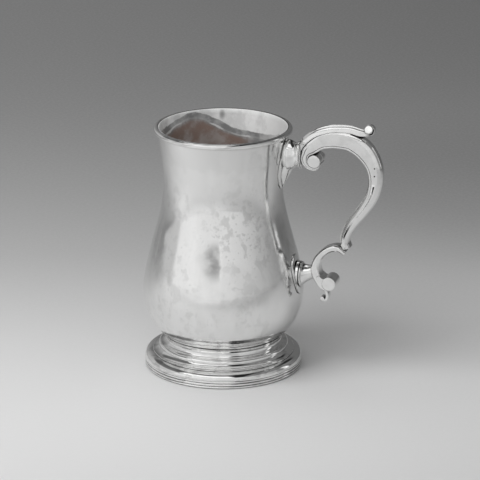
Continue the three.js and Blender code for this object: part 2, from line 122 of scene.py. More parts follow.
class TankardHandleSizes(PropertyGroup):
    upper_seat: length("Upper seat", "Table to the handle's upper end on the neck", 0.121)
    lower_seat: length("Lower seat", "Table to the handle's lower end on the belly", 0.0545)
    upper_reach: length("Upper reach", "From the neck to the collar's face", 0.01017)
    back_reach: length("Back reach", "From the collar to the middle of the handle's back", 0.04045)
    shoulder_rise: length("Shoulder rise", "From the upper seat to the middle of the shoulder", 0.0102)
    tip_rise: length("Tip rise", "From the lower seat to the tip of the upper scroll", 0.0175)
    half_width: length("Half width", "Half the width of the strap", 0.0042)
    half_thickness: length("Half thickness", "Half the thickness of the strap at the shoulder", 0.0047)
    bevel: length("Bevel", "Width of the strap's bevels", 0.0012)
    disc_radius: length("Volute radius", "Radius of the upper volute's pin", 0.0034)
    flank_bevel: length("Flank bevel", "Width of the rounding along the handle's back", 0.0024)
    heel_bevel: length("Heel bevel", "Width of the bevel inside the handle's lower end", 0.0022)
    groove_width: length("Groove width", "Width of the line cut beside the strap's edges", 0.0005)
    groove_depth: length("Groove depth", "Depth of the line cut beside the strap's edges", 0.0003)
    disc_half_width: length("Volute half width", "Half the length of the upper volute's pin", 0.0055)
    lower_reach: length("Lower scroll reach", "From the collar's face plane to the lower tip", 0.0242)
    lower_rise: length("Lower scroll rise", "From the lower seat to the scroll's crown", 0.0169)
    lower_half_width: length("Lower half width", "Half the width of the lower scroll", 0.0035)
    lower_half_thickness: length("Lower half thickness", "Half the lower scroll's thickness", 0.0022)
    lower_bevel: length("Lower bevel", "Width of the lower scroll's bevels", 0.0009)
    lower_disc_radius: length("Lower volute radius", "Radius of the lower volute's end", 0.0037)
    lower_disc_half_width: length("Lower volute half width", "Half the lower pin's length", 0.005)
    vent_radius: length("Vent radius", "Radius of each vent hole", 0.0004)


class TankardSeatSizes(PropertyGroup):
    drop_gap: length("Drop gap", "From the lip down to the drop on the neck", 0.0004)
    drop_length: length("Drop length", "Length of the drop on the neck", 0.0282)
    drop_half_width: length("Drop half width", "Half the drop's greatest width", 0.0056)
    drop_thickness: length("Drop thickness", "Thickness of the drop", 0.0012)
    tail_rise: length("Tail rise", "How far the tail's edge rises from the drop's tip", 0.0112)
    tail_reach: length("Tail reach", "How far the tail under the socket stands out", 0.0056)
    tail_half_width: length("Tail half width", "Half the width of the tail under the socket", 0.0034)
    socket_half_height: length("Socket half height", "Half the socket's height at the collar", 0.0072)
    socket_half_width: length("Socket half width", "Half the socket's width at the collar", 0.0049)
    collar_length: length("Collar length", "Length of the beaded collar", 0.0016)
    bead_rise: length("Bead rise", "How far the collar's larger bead stands out", 0.0005)
    plate_half_length: length("Plate half length", "Half the length of the plate on the belly", 0.0106)
    plate_half_width: length("Plate half width", "Half the width of the plate on the belly", 0.0077)
    plate_thickness: length("Plate thickness", "Thickness of the plate on the belly", 0.001)
    ring_length: length("Ring length", "Length of the ring on the belly plate", 0.0013)
    ring_radius: length("Ring radius", "Radius of the ring on the belly plate", 0.0073)
    cone_reach: length("Cone reach", "From the collar's face plane to the cone's end", 0.0082)
    cone_rise: length("Cone rise", "How far the cone climbs from the ring to its end", 0.0026)
    cone_radius: length("Cone radius", "Radius of the cone at its end", 0.0038)
    cone_flare: length("Cone flare", "How much wider the cone is at the ring", 0.0023)
    hook_reach: length("Hook reach", "From the collar's face plane to the hook's outside", 0.0147)
    hook_drop: length("Hook drop", "From the lower seat down to the hook's lowest point", 0.0132)
    hook_half_width: length("Hook half width", "Half the width of the hook", 0.0022)
    hook_half_thickness: length("Hook half thickness", "Half the hook's thickness at its root", 0.0009)
    hook_ball: length("Hook ball", "Radius of the ball at the hook's tip", 0.00125)


class TankardLeafSizes(PropertyGroup):
    rise: length("Root rise", "From the upper seat to the leaf's root", 0.003)
    lift: length("Lift", "Distance past the collar where the leaf leaves the scroll", 0.029)
    thickness: length("Thickness", "Thickness of the leaf at its root", 0.0034)
    tip_thickness: length("Tip thickness", "Thickness of the leaf at its tip", 0.0036)
    half_width: length("Half width", "Half the leaf's width at its root", 0.0041)
    tip_half_width: length("Tip half width", "Half the leaf's width at its tip", 0.0019)
    curl_reach: length("Curl reach", "From the collar to the curl's centre", 0.0364)
    curl_rise: length("Curl rise", "From the upper seat to the curl's centre", 0.0167)
    curl_radius: length("Curl radius", "Outside radius of the curl", 0.0029)
    crown: length("Crown", "How much lower the edges lie than the middle", 0.002)
    flute_depth: length("Flute depth", "Depth of the flutes", 0.0013)
    curl_wall: length("Curl wall", "Thickness of the curl at its root", 0.0009)
    bud_radius: length("Bud radius", "Radius of the flat bud on each side of the curl", 0.0023)


class TankardSilver(PropertyGroup):
    colour: colour("Silver", "Colour of clean polished silver", (0.87, 0.87, 0.865))
    tarnish: colour("Tarnish", "Colour of the cloudy spots", (0.62, 0.62, 0.615))
    # The grime colour also paints shade into corners, grooves and joins
    grime_and_shade: colour("Grime", "Colour of the old polish left in the corners", (0.1, 0.098, 0.095))
    inside: colour("Inside", "Colour of the clean silver inside", (0.93, 0.93, 0.925))
    dull: colour("Dull", "Colour of the dulled inside", (0.25, 0.25, 0.25))
    stain: colour("Stain", "Colour of the brown stain inside", (0.26, 0.185, 0.155))
    polish: factor("Polish", "Roughness of the polished mouldings", 0.06)
    haze: factor("Haze", "Roughness of the raised body", 0.13)


class TankardStage(PropertyGroup):
    # The floor colours paint in the fall of light: pale round the piece and far in front, greying behind
    # it
    front_floor: colour("Front floor", "Colour of the floor a little in front of the piece", (0.61,) * 3)
    near_floor: colour("Near floor", "Colour of the floor round the piece and far in front", (0.83,) * 3)
    middle_floor: colour("Middle floor", "Colour of the floor behind the piece", (0.395,) * 3)
    far_floor: colour("Far floor", "Colour of the far floor", (0.215,) * 3)
    azimuth: rotation("Azimuth", "Camera angle round the piece", 17)
    elevation: rotation("Elevation", "Camera angle above the table", 18.43)
    distance: length("Distance", "Camera to the point it looks at", 1.5)
    aim_right: length("Aim right", "From the body's axis to the point the camera looks at", 0.00894)
    aim_height: length("Aim height", "Table to the point the camera looks at", 0.06933)
    lens: FloatProperty(name="Lens", description="Focal length in millimetres", default=209.7)
    key_width: length("Key width", "Width of the lamp on the left", 1.3)
    key_height: length("Key height", "Height of the lamp on the left", 1.1)
    key_power: FloatProperty(name="Key power", description="Watts of the lamp on the left", default=22)
    top_size: length("Top size", "Width of the square lamp overhead", 2.4)
    top_power: FloatProperty(name="Top power", description="Watts of the lamp overhead", default=12)


GROUPS = {
    "tankard_body": TankardBodySizes,
    "tankard_foot": TankardFootSizes,
    "tankard_handle": TankardHandleSizes,
    "tankard_seat": TankardSeatSizes,
    "tankard_leaf": TankardLeafSizes,
    "tankard_silver": TankardSilver,
    "tankard_stage": TankardStage,
}


# Curves and meshes

# Steps round a softened corner, and facets round a tube, a pin and a small button
CORNER_STEPS = 3
TUBE_SIDES, PIN_SIDES, BUTTON_SIDES = 96, 64, 48


def bezier(ends, count):
    """Points along a curve of three or four control points."""
    points = np.array(ends, float)
    order = len(points) - 1
    t = np.linspace(0, 1, count + 1)[:, None]
    return sum(
        math.comb(order, k) * (1 - t) ** (order - k) * t**k * points[k] for k in range(order + 1)
    )


def arc(centre, radius, start, end, count):
    """Points on a circle, with angles in degrees."""
    angles = np.radians(np.linspace(start, end, count + 1))
    return np.array(centre) + radius * np.column_stack([np.cos(angles), np.sin(angles)])


def circle_angles(count):
    """Angles in even steps once round."""
    return np.linspace(0, 2 * math.pi, count, endpoint=False)


def rounded(points, radius):
    """An open outline with its inner corners rounded."""
    points = [np.array(p, float) for p in points]
    out = [points[0]]
    for before, corner, after in zip(points, points[1:], points[2:]):
        back, ahead = before - corner, after - corner
        reach = min(radius, np.linalg.norm(back) * 0.45, np.linalg.norm(ahead) * 0.45)
        start = corner + back / np.linalg.norm(back) * reach
        end = corner + ahead / np.linalg.norm(ahead) * reach
        out.extend(bezier([start, corner, end], CORNER_STEPS))
    out.append(points[-1])
    return np.array(out)


def joined(*parts):
    """Outlines one after another, without repeating the points where they meet."""
    points = [np.array(parts[0][0], float)]
    for part in parts:
        for point in part:
            if np.linalg.norm(np.array(point) - points[-1]) > 1e-6:
                points.append(np.array(point, float))
    return np.array(points)


def lathe(profile, sides, wave=None):
    """A closed shell turned from (radius, height) points that close on themselves or end on the axis."""
    profile = np.array(profile, float)
    on_axis = profile[0][0] < 1e-7
    rows = profile[1:-1] if on_axis else profile[:-1]
    points = []
    for radius, z in rows:
        for angle in circle_angles(sides):
            reach = radius + (wave(angle, z, radius) if wave else 0)
            points.append((AXIS + reach * math.cos(angle), reach * math.sin(angle), z))
    faces = []
    last = len(rows) - 1 if on_axis else len(rows)
    for r in range(last):
        low, high = r * sides, ((r + 1) % len(rows)) * sides
        for k in range(sides):
            n = (k + 1) % sides
            faces.append((low + k, low + n, high + n, high + k))
    if on_axis:
        for row, end, turn in ((0, profile[0], 1), (last * sides, profile[-1], -1)):
            points.append((AXIS, 0, end[1]))
            pole = len(points) - 1
            for k in range(sides):
                faces.append((pole, row + (k + 1) % sides, row + k)[::turn])
    return points, faces


def skin(rings):
    """A closed shell over rings of equal length, with a flat face on each end."""
    count = len(rings[0])
    points = [tuple(p) for ring in rings for p in ring]
    faces = []
    for r in range(len(rings) - 1):
        for k in range(count):
            a, b = r * count + k, r * count + (k + 1) % count
            faces.append((a, b, b + count, a + count))
    last = (len(rings) - 1) * count
    faces.append(tuple(range(count))[::-1])
    faces.append(tuple(range(last, last + count)))
    return points, faces


class Path:
    """A smooth line through points of x, z and half thickness, in the plane of the handle."""

    def __init__(self, points, seat):
        points = np.array(points, float)
        first, last = 2 * points[0] - points[1], 2 * points[-1] - points[-2]
        self.knots = np.vstack([first, points, last])
        self.seat = seat

    def at(self, t):
        """Point and half thickness at a share of the path."""
        spans = len(self.knots) - 3
        k = min(int(t * spans), spans - 1)
        u = t * spans - k
        p0, p1, p2, p3 = self.knots[k : k + 4]
        m1, m2 = (p2 - p0) / 2, (p3 - p1) / 2
        return (
            (2 * u**3 - 3 * u**2 + 1) * p1 + (u**3 - 2 * u**2 + u) * m1
            + (3 * u**2 - 2 * u**3) * p2 + (u**3 - u**2) * m2
        )

    def station(self, t):
        """Centre, direction across the strap and half thickness at a share of the path."""
        x, z, half = self.at(t)
        along = self.at(min(t + 1e-3, 1)) - self.at(max(t - 1e-3, 0))
        across = np.array([-along[1], along[0]]) / math.hypot(along[0], along[1])
        return np.array([x, self.seat + z]), across, half


def strap(path, section, count):
    """A shell swept along a path; section gives (across, y) points for a half thickness and a share."""
    rings = []
    for t in np.linspace(0, 1, count + 1):
        centre, across, half = path.station(t)
        ring = []
        for u, y in section(half, t):
            x, z = centre + across * u
            ring.append((x, y, z))
        rings.append(ring)
    return skin(rings)


def eased(low, high, value):
    """0 below low, 1 above high, and a smooth rise between."""
    share = min(max((value - low) / (high - low), 0), 1)
    return share * share * (3 - 2 * share)


def pin_outline(radius, near, far, edge):
    """A pin's side and softened ends, as distances from its axis and along it."""
    return joined(arc((radius - edge, near + edge), edge, -90, 0, 6),
                  arc((radius - edge, far - edge), edge, 0, 90, 6))


def button(place, axis, radius, half, edge):
    """A short round pin about any axis."""
    axis = Vector(axis).normalized()
    side = axis.orthogonal().normalized()
    up = axis.cross(side)
    rings = []
    for reach, run in pin_outline(radius, -half, half, edge):
        ring = []
        for angle in circle_angles(BUTTON_SIDES):
            spoke = side * math.cos(angle) + up * math.sin(angle)
            ring.append(tuple(Vector(place) + axis * run + spoke * reach))
        rings.append(ring)
    return skin(rings)


def pin(centre, radius, near, far, edge=0.00035, sides=PIN_SIDES):
    """A round pin along Y with softened ends."""
    x, z = centre
    return skin([
        [(x + reach * math.cos(a), y, z + reach * math.sin(a)) for a in circle_angles(sides)]
        for reach, y in pin_outline(radius, near, far, edge)
    ])


def slab(outline, near, far):
    """A flat shape in the plane of the handle, made solid along Y."""
    return skin([[(x, y, z) for x, z in outline] for y in (near, far)])


def oval_tube(stations, keel=0.0):
    """A tube of oval sections square to X; each station is x, centre height, half height, half width.

    The lower part of each section narrows to a keel by the given share.
    """
    rings = []
    for x, z, tall, wide in stations:
        ring = []
        for a in circle_angles(TUBE_SIDES):
            narrow = 1 - keel * max(-math.sin(a), 0) ** 1.2
            ring.append((x, wide * math.cos(a) * narrow, z + tall * math.sin(a)))
        rings.append(ring)
    return skin(rings)


def make_mesh(name, shells):
    """One mesh from closed shells, with every face turned outwards."""
    points, faces = [], []
    for shell_points, shell_faces in shells:
        start = len(points)
        points.extend(tuple(map(float, p)) for p in shell_points)
        faces.extend(tuple(start + k for k in face) for face in shell_faces)
    mesh = bpy.data.meshes.new(name)
    mesh.from_pydata(points, [], faces)
    work = bmesh.new()
    work.from_mesh(mesh)
    bmesh.ops.recalc_face_normals(work, faces=work.faces)
    work.to_mesh(mesh)
    work.free()
    return mesh


def make_piece(name, shells, node, slot, sharp=40):
    """One object from closed shells, standing for a node of the frame and riding on its body.

    The slot names its material, and edges turn sharp over the given angle in degrees.
    """
    mesh = make_mesh(name, shells)
    mesh.polygons.foreach_set("use_smooth", [True] * len(mesh.polygons))
    mesh.set_sharp_from_angle(angle=math.radians(sharp))
    piece = bpy.data.objects.new(name, mesh)
    bpy.context.scene.collection.objects.link(piece)
    mesh.materials.append(silver(slot.replace("_", " ")))
    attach(piece, "root")
    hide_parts(node)
    return piece


def cut_away(piece, shells):
    """Cuts closed shells out of a piece, one after another."""
    for shell in shells:
        mesh = make_mesh("cutter", [shell])
        cutter = bpy.data.objects.new("cutter", mesh)
        bpy.context.scene.collection.objects.link(cutter)
        modifier = piece.modifiers.new("cut", "BOOLEAN")
        modifier.operation = "DIFFERENCE"
        modifier.solver = "EXACT"
        modifier.object = cutter
        evaluated = piece.evaluated_get(bpy.context.evaluated_depsgraph_get())
        result = bpy.data.meshes.new_from_object(evaluated)
        piece.modifiers.remove(modifier)
        old = piece.data
        result.name = old.name
        piece.data = result
        bpy.data.meshes.remove(old)
        bpy.data.objects.remove(cutter)
        bpy.data.meshes.remove(mesh)


# Body outline

# How far each curve of the outline keeps its course from its ends
MOUTH_PULL, MOUTH_LEAN = 0.0108, 0.00116
THROAT_PULL, NECK_PULL = 0.0068, 0.0174
BELLY_PULL, LOWER_PULL, BOTTOM_PULL = 0.01445, 0.03315, 0.0053
# How far the body's rim lies under the top of the lip
RIM_DROP = 0.0004
# Steps along the three curves, in the mesh and where only a radius is looked up
MESH_STEPS, LOOKUP_STEPS = (34, 70, 90), (40, 60, 80)


def body_outline(s, counts):
    """The body's outside from the mouth down to the middle of its underside."""
    mouth, neck, belly = s.mouth_radius, s.neck_radius, s.belly_radius
    mouth_z, neck_z, belly_z = s.height - s.lip_height, s.height - s.neck_drop, s.belly_height
    return joined(
        [(mouth, s.height - RIM_DROP)],
        bezier([(mouth, mouth_z), (mouth - MOUTH_LEAN, mouth_z - MOUTH_PULL),
                (neck, neck_z + THROAT_PULL), (neck, neck_z)], counts[0]),
        bezier([(neck, neck_z), (neck, neck_z - NECK_PULL),
                (belly, belly_z + BELLY_PULL), (belly, belly_z)], counts[1]),
        bezier([(belly, belly_z), (belly, belly_z - LOWER_PULL),
                (BOTTOM_PULL, s.bottom_height), (0, s.bottom_height)], counts[2]),
    )


def body_radius(s, z):
    """Outside radius of the body at a height, or at each of many."""
    outline = body_outline(s, LOOKUP_STEPS)
    return np.interp(z, outline[::-1, 1], outline[::-1, 0])


def inward(outline, distance):
    """An outline moved square to itself, towards the axis."""
    along = np.gradient(outline, axis=0)
    along /= np.linalg.norm(along, axis=1)[:, None]
    moved = outline + distance * np.column_stack([along[:, 1], -along[:, 0]])
    moved[:, 0] = np.maximum(moved[:, 0], 0)
    return moved


# Places on the body: angle round the axis in degrees, then height
DENT_PLACE = (-77, 0.069)
DENT_LENGTH = 0.011
# How far the hollow runs on the side where it deepens slowly, and beyond its sharper edge
DENT_RUN = 0.0045
DENT_EDGE = 0.0012
CREASE_PLACE = (-141, 0.071)
CREASE_LENGTH = 0.02
CREASE_EDGE = 0.0006
CREASE_DEPTH = 0.00025

# Sizes of the broad and small waves left by the hammer, the small ones' share, and how the waves
# are drawn out up the body
BROAD_WAVE, SMALL_WAVE = 0.021, 0.008
SMALL_WAVE_SHARE = 0.4
WAVE_SQUEEZE = 0.8
# The waves fade out this close to the lip and to the middle of the underside
WAVE_FADE = 0.02


def dented(s, angle, z, place, edge, tall, depth):
    """A hollow that deepens slowly towards a line and ends there in a sharper edge."""
    around = (angle - math.radians(place[0]) + math.pi) % (2 * math.pi) - math.pi
    aside = around * s.belly_radius
    up = math.exp(-(((z - place[1]) / tall) ** 2))
    run = DENT_RUN if aside < 0 else edge
    return -depth * up * math.exp(-((aside / run) ** 2))


def body_wave(s):
    """The small waves of a body raised by hand, as a change of radius."""

    def wave(angle, z, radius):
        spot = Vector((math.cos(angle) * radius, math.sin(angle) * radius, z * WAVE_SQUEEZE))
        below_lip = max(0, (s.height - s.lip_height - z) / WAVE_FADE)
        fade = min(1, below_lip) * min(1, radius / WAVE_FADE)
        broad = noise.noise(spot / BROAD_WAVE)
        small = noise.noise(spot / SMALL_WAVE + Vector((7, 3, 1)))
        change = fade * s.hammering * (broad + SMALL_WAVE_SHARE * small)
        change += dented(s, angle, z, DENT_PLACE, DENT_EDGE, DENT_LENGTH, s.dent_depth)
        change += dented(s, angle, z, CREASE_PLACE, CREASE_EDGE, CREASE_LENGTH, CREASE_DEPTH)
        return change

    return wave


# Materials

# A painted dark reflection beside the dent, standing in for what its tilted side mirrors: its darkest
# place, and how far it reaches along each axis
DENT_DARK = (-79.5, 0.0695)
DENT_REACH = (0.0095, 0.01, 0.0135)
# How much the dark side's edge wavers and at what size, and where it ends beyond the dent's line
DENT_WAVER, DENT_WAVER_SIZE = 0.0095, 0.009
DENT_DARK_END = (0.0054, 0.0068)

# The middle and reach of the part of the body with most spots
SPOT_PLACE = (-53, 0.084)
SPOT_REACH = (0.034, 0.034, 0.036)
# Sizes of the marks on the body's outside, and how much each sort clouds the silver
SPOT_SIZE, FINE_SPOT_SIZE, SPOTTED_SIZE, SPOT_SHARE = 0.0042, 0.0017, 0.026, 0.65
BLOOM_SIZE, BLOOM_SHARE = 0.017, 0.2
# Height at which the thin film under the lip begins, with half of its raggedness added
FILM_FROM = (0.1275, 0.1295)
FILM_RAGGED, FILM_RAGGED_SIZE, FILM_SHARE = 0.022, 0.008, 0.14
# Width and depth of the wiping scratches, and of the soft ripples under them
SCRATCH_WIDTH, SCRATCH_DEPTH = 0.0006, 0.000004
RIPPLE_SIZE, RIPPLE_DEPTH = 0.0035, 0.00003

# Heights inside the body between which it turns dull and then brown, and where a bright seam starts
DULL_FROM = (0.1242, 0.1248)
STAIN_FROM = (0.1185, 0.1215)
SEAM_FROM = (0.1205, 0.121)
SEAM_HEIGHT = 0.001
# How much these bands wave, the middle of the waves, and how much higher they lie across from the handle
BAND_WAVE, BAND_MIDDLE, BAND_TILT = 0.018, 0.01, 0.004
# A painted grey reflection high on the far wall, with its X counted from the body's axis
DARK_REFLECTION_PLACE = (-0.0105, 0.0313, 0.1298)
DARK_REFLECTION_REACH = (0.0022, 0.004, 0.0036)
# The dulled inside is mostly matt, and smoother where it is dull
INSIDE_METALLIC = 0.3
CLEAN_ROUGHNESS, DULL_ROUGHNESS = 0.52, 0.3
# Sizes of the bands' waves and of their ragged share, and of the patches and mottling between them
BAND_WAVE_SIZE, BAND_RAGGED_SIZE, BAND_RAGGED = 0.031, 0.005, 0.12
PATCH_SIZE, MOTTLE_SIZE, SEAM_BREAK_SIZE = 0.008, 0.009, 0.012
INSIDE_RIPPLE_SIZE, INSIDE_RIPPLE_DEPTH = 0.012, 0.0006

# Sizes of the wear and the rubbed patches on the mouldings, and of the ripples in their polish
TURNED_WEAR_SIZE, RUBBED_SIZE = 0.006, 0.012
TURNED_RIPPLE_SIZE, TURNED_RIPPLE_DEPTH = 0.014, 0.00005
# Sizes of the wear on the castings, of the unevenness of their skin and of its fine grain
CAST_WEAR_SIZE = 0.005
CAST_SKIN_SIZE, CAST_SKIN_DEPTH = 0.006, 0.00008
CAST_GRAIN_SIZE, CAST_GRAIN_DEPTH = 0.0008, 0.000006
# Size over which the gloss of mouldings and castings varies
GLOSS_SIZE = 0.004


class Nodes:
    """The nodes of a new material or world, with short ways to add and join them."""

    def __init__(self, name, library=None):
        self.owner = (bpy.data.materials if library is None else library).new(name)
        self.owner.use_nodes = True
        self.tree = self.owner.node_tree
        self.tree.nodes.clear()
        self.coordinates = self.add("ShaderNodeTexCoord").outputs["Object"]

    def add(self, kind, **settings):
        node = self.tree.nodes.new(kind)
        for key, value in settings.items():
            setattr(node, key, value)
        return node

    def join(self, source, socket):
        self.tree.links.new(source, socket)

    def cloud(self, size, detail=3.0, roughness=0.5, squeeze=(1, 1, 1), distortion=0.0):
        """Noise whose features are about size metres across, and longer where squeeze is under 1."""
        mapping = self.add("ShaderNodeMapping")
        mapping.inputs["Scale"].default_value = squeeze
        self.join(self.coordinates, mapping.inputs["Vector"])
        texture = self.add("ShaderNodeTexNoise")
        texture.inputs["Scale"].default_value = 1 / size
        texture.inputs["Detail"].default_value = detail
        texture.inputs["Roughness"].default_value = roughness
        texture.inputs["Distortion"].default_value = distortion
        self.join(mapping.outputs["Vector"], texture.inputs["Vector"])
        return texture.outputs["Fac"]

    def remap(self, source, low, high, to_low=0.0, to_high=1.0):
        """A smooth change between two values while the source runs from low to high."""
        node = self.add("ShaderNodeMapRange", interpolation_type="SMOOTHSTEP")
        node.inputs["From Min"].default_value = low
        node.inputs["From Max"].default_value = high
        node.inputs["To Min"].default_value = to_low
        node.inputs["To Max"].default_value = to_high
        self.join(source, node.inputs["Value"])
        return node.outputs["Result"]

    def maths(self, operation, *values):
        node = self.add("ShaderNodeMath", operation=operation)
        for socket, value in zip(node.inputs, values):
            if isinstance(value, bpy.types.NodeSocket):
                self.join(value, socket)
            else:
                socket.default_value = value
        return node.outputs["Value"]

    def blend(self, share, first, second):
        """A colour between two, each given by its values or by a socket."""
        node = self.add("ShaderNodeMix", data_type="RGBA")
        self.join(share, node.inputs["Factor"])
        for socket, value in zip((node.inputs["A"], node.inputs["B"]), (first, second)):
            if isinstance(value, bpy.types.NodeSocket):
                self.join(value, socket)
            else:
                socket.default_value = (*value, 1)
        return node.outputs["Result"]

    def ramp(self, source, stops, interpolation="LINEAR"):
        """A colour from (place, colour) stops."""
        node = self.add("ShaderNodeValToRGB")
        node.color_ramp.interpolation = interpolation
        while len(node.color_ramp.elements) < len(stops):
            node.color_ramp.elements.new(0.5)
        for element, (place, shade) in zip(node.color_ramp.elements, stops):
            element.position = place
            element.color = (*shade, 1)
        self.join(source, node.inputs["Fac"])
        return node.outputs["Color"]

    def near(self, place, reach):
        """1 at a place and 0 beyond a reach, along each axis."""
        mapping = self.add("ShaderNodeMapping", vector_type="TEXTURE")
        mapping.inputs["Location"].default_value = place
        mapping.inputs["Scale"].default_value = reach
        self.join(self.coordinates, mapping.inputs["Vector"])
        distance = self.add("ShaderNodeVectorMath", operation="LENGTH")
        self.join(mapping.outputs["Vector"], distance.inputs[0])
        return self.remap(distance.outputs["Value"], 0.2, 1, 1, 0)

    def split(self, vector=None):
        """The three parts of a vector, which is the place on the object unless another is given."""
        node = self.add("ShaderNodeSeparateXYZ")
        self.join(self.coordinates if vector is None else vector, node.inputs["Vector"])
        return node.outputs

    def along(self, direction, vector=None):
        """How far a vector, or the place on the object, reaches in a direction."""
        node = self.add("ShaderNodeVectorMath", operation="DOT_PRODUCT")
        node.inputs[1].default_value = direction
        self.join(self.coordinates if vector is None else vector, node.inputs[0])
        return node.outputs["Value"]

    def between(self, angle, low, high):
        """1 while an angle lies between two limits in degrees, with soft edges."""
        low_edges = (math.radians(low - BOX_EDGE), math.radians(low + BOX_EDGE))
        high_edges = (math.radians(high - BOX_EDGE), math.radians(high + BOX_EDGE))
        return self.maths("MULTIPLY", self.remap(angle, *low_edges), self.remap(angle, *high_edges, 1, 0))

    def corner_polish_and_shade(self, reach, strength, low, high):
        """How much of the surroundings within a reach is hidden, for old polish left in corners and for
        painted shade in corners, grooves and joins.
        """
        node = self.add("ShaderNodeAmbientOcclusion", samples=8)
        node.inputs["Distance"].default_value = reach
        return self.remap(node.outputs["AO"], low, high, strength, 0)

    def beside_dent(self):
        """1 on the left of the dent's line and 0 on its right, where the dark reflection beside the dent
        is painted.
        """
        angle = math.radians(DENT_PLACE[0])
        aside = self.along((-math.sin(angle), math.cos(angle), 0))
        waver = self.maths("MULTIPLY_ADD", self.cloud(DENT_WAVER_SIZE, 2, 0.4), DENT_WAVER, aside)
        return self.remap(waver, *(end - AXIS * math.sin(angle) for end in DENT_DARK_END), 1, 0)

    def bump(self, height, distance, below=None):
        """A surface raised by up to a distance, on top of another bump where one is given."""
        node = self.add("ShaderNodeBump")
        node.inputs["Strength"].default_value = 1
        node.inputs["Distance"].default_value = distance
        self.join(height, node.inputs["Height"])
        if below is not None:
            self.join(below, node.inputs["Normal"])
        return node.outputs["Normal"]

    def shade(self, base, roughness, normal, metallic=1.0):
        """The finished material."""
        shader = self.add("ShaderNodeBsdfPrincipled")
        shader.inputs["Metallic"].default_value = metallic
        self.join(base, shader.inputs["Base Color"])
        self.join(roughness, shader.inputs["Roughness"])
        self.join(normal, shader.inputs["Normal"])
        output = self.add("ShaderNodeOutputMaterial")
        self.join(shader.outputs["BSDF"], output.inputs["Surface"])
        return self.owner


def around_body(degrees, z):
    """A point on the body's outside, from its angle round the axis and its height."""
    radius = body_radius(bpy.context.scene.tankard_body, z)
    return (AXIS + radius * math.cos(math.radians(degrees)), radius * math.sin(math.radians(degrees)), z)


def raised_silver(s):
    """The body's outside: hazy and scratched, with cloudy spots, bloom and a film under the lip, a
    painted dark reflection beside the dent, and old polish with painted shade where it meets other
    pieces.
    """
    n = Nodes("raised silver")
    spots = n.remap(n.cloud(SPOT_SIZE, 4, 0.5, (1, 1, 0.8)), 0.5, 0.62)
    fine_spots = n.remap(n.cloud(FINE_SPOT_SIZE, 2, 0.5), 0.62, 0.68)
    spotted = n.maths("MAXIMUM", n.remap(n.cloud(SPOTTED_SIZE, 1), 0.46, 0.6, 0, 0.5),
                      n.near(around_body(*SPOT_PLACE), SPOT_REACH))
    cloudy = n.maths("MULTIPLY", n.maths("MAXIMUM", spots, fine_spots), spotted)
    bloom = n.remap(n.cloud(BLOOM_SIZE, 4, 0.6, (1, 1, 0.5)), 0.42, 0.62)
    ragged = n.maths("MULTIPLY_ADD", n.cloud(FILM_RAGGED_SIZE, 4, 0.6), FILM_RAGGED, n.split()["Z"])
    film = n.remap(ragged, *FILM_FROM)
    shade = n.maths("MULTIPLY", cloudy, SPOT_SHARE)
    shade = n.maths("MULTIPLY_ADD", bloom, BLOOM_SHARE, shade)
    shade = n.maths("MULTIPLY_ADD", film, FILM_SHARE, shade)
    base = n.blend(n.maths("MINIMUM", shade, 1.0), s.colour, s.tarnish)

    # Painted dark reflection on the left of the dent, in a darkened tarnish colour
    hollow = n.maths("MULTIPLY", n.near(around_body(*DENT_DARK), DENT_REACH), n.beside_dent())
    hollow = n.maths("MULTIPLY", hollow, n.remap(n.cloud(0.007, 2, 0.4), 0.3, 0.6, 0.3, 1))
    base = n.blend(hollow, base, [v * 0.6 for v in s.tarnish])
    # Old polish and painted shade where the body meets other pieces
    base = n.blend(n.corner_polish_and_shade(reach=0.003, strength=0.9, low=0.3, high=0.88), base, s.grime_and_shade)
    roughness = n.remap(n.cloud(0.012, 4, 0.6), 0.3, 0.7, s.haze * 0.7, s.haze * 1.3)
    roughness = n.maths("ADD", roughness, n.maths("MULTIPLY", cloudy, 0.1))
    normal = n.bump(n.cloud(SCRATCH_WIDTH, 2, 0.5, (1, 1, 0.12)), SCRATCH_DEPTH)
    normal = n.bump(n.cloud(RIPPLE_SIZE, 2, 0.5), RIPPLE_DEPTH, normal)
    return n.shade(base, roughness, normal)


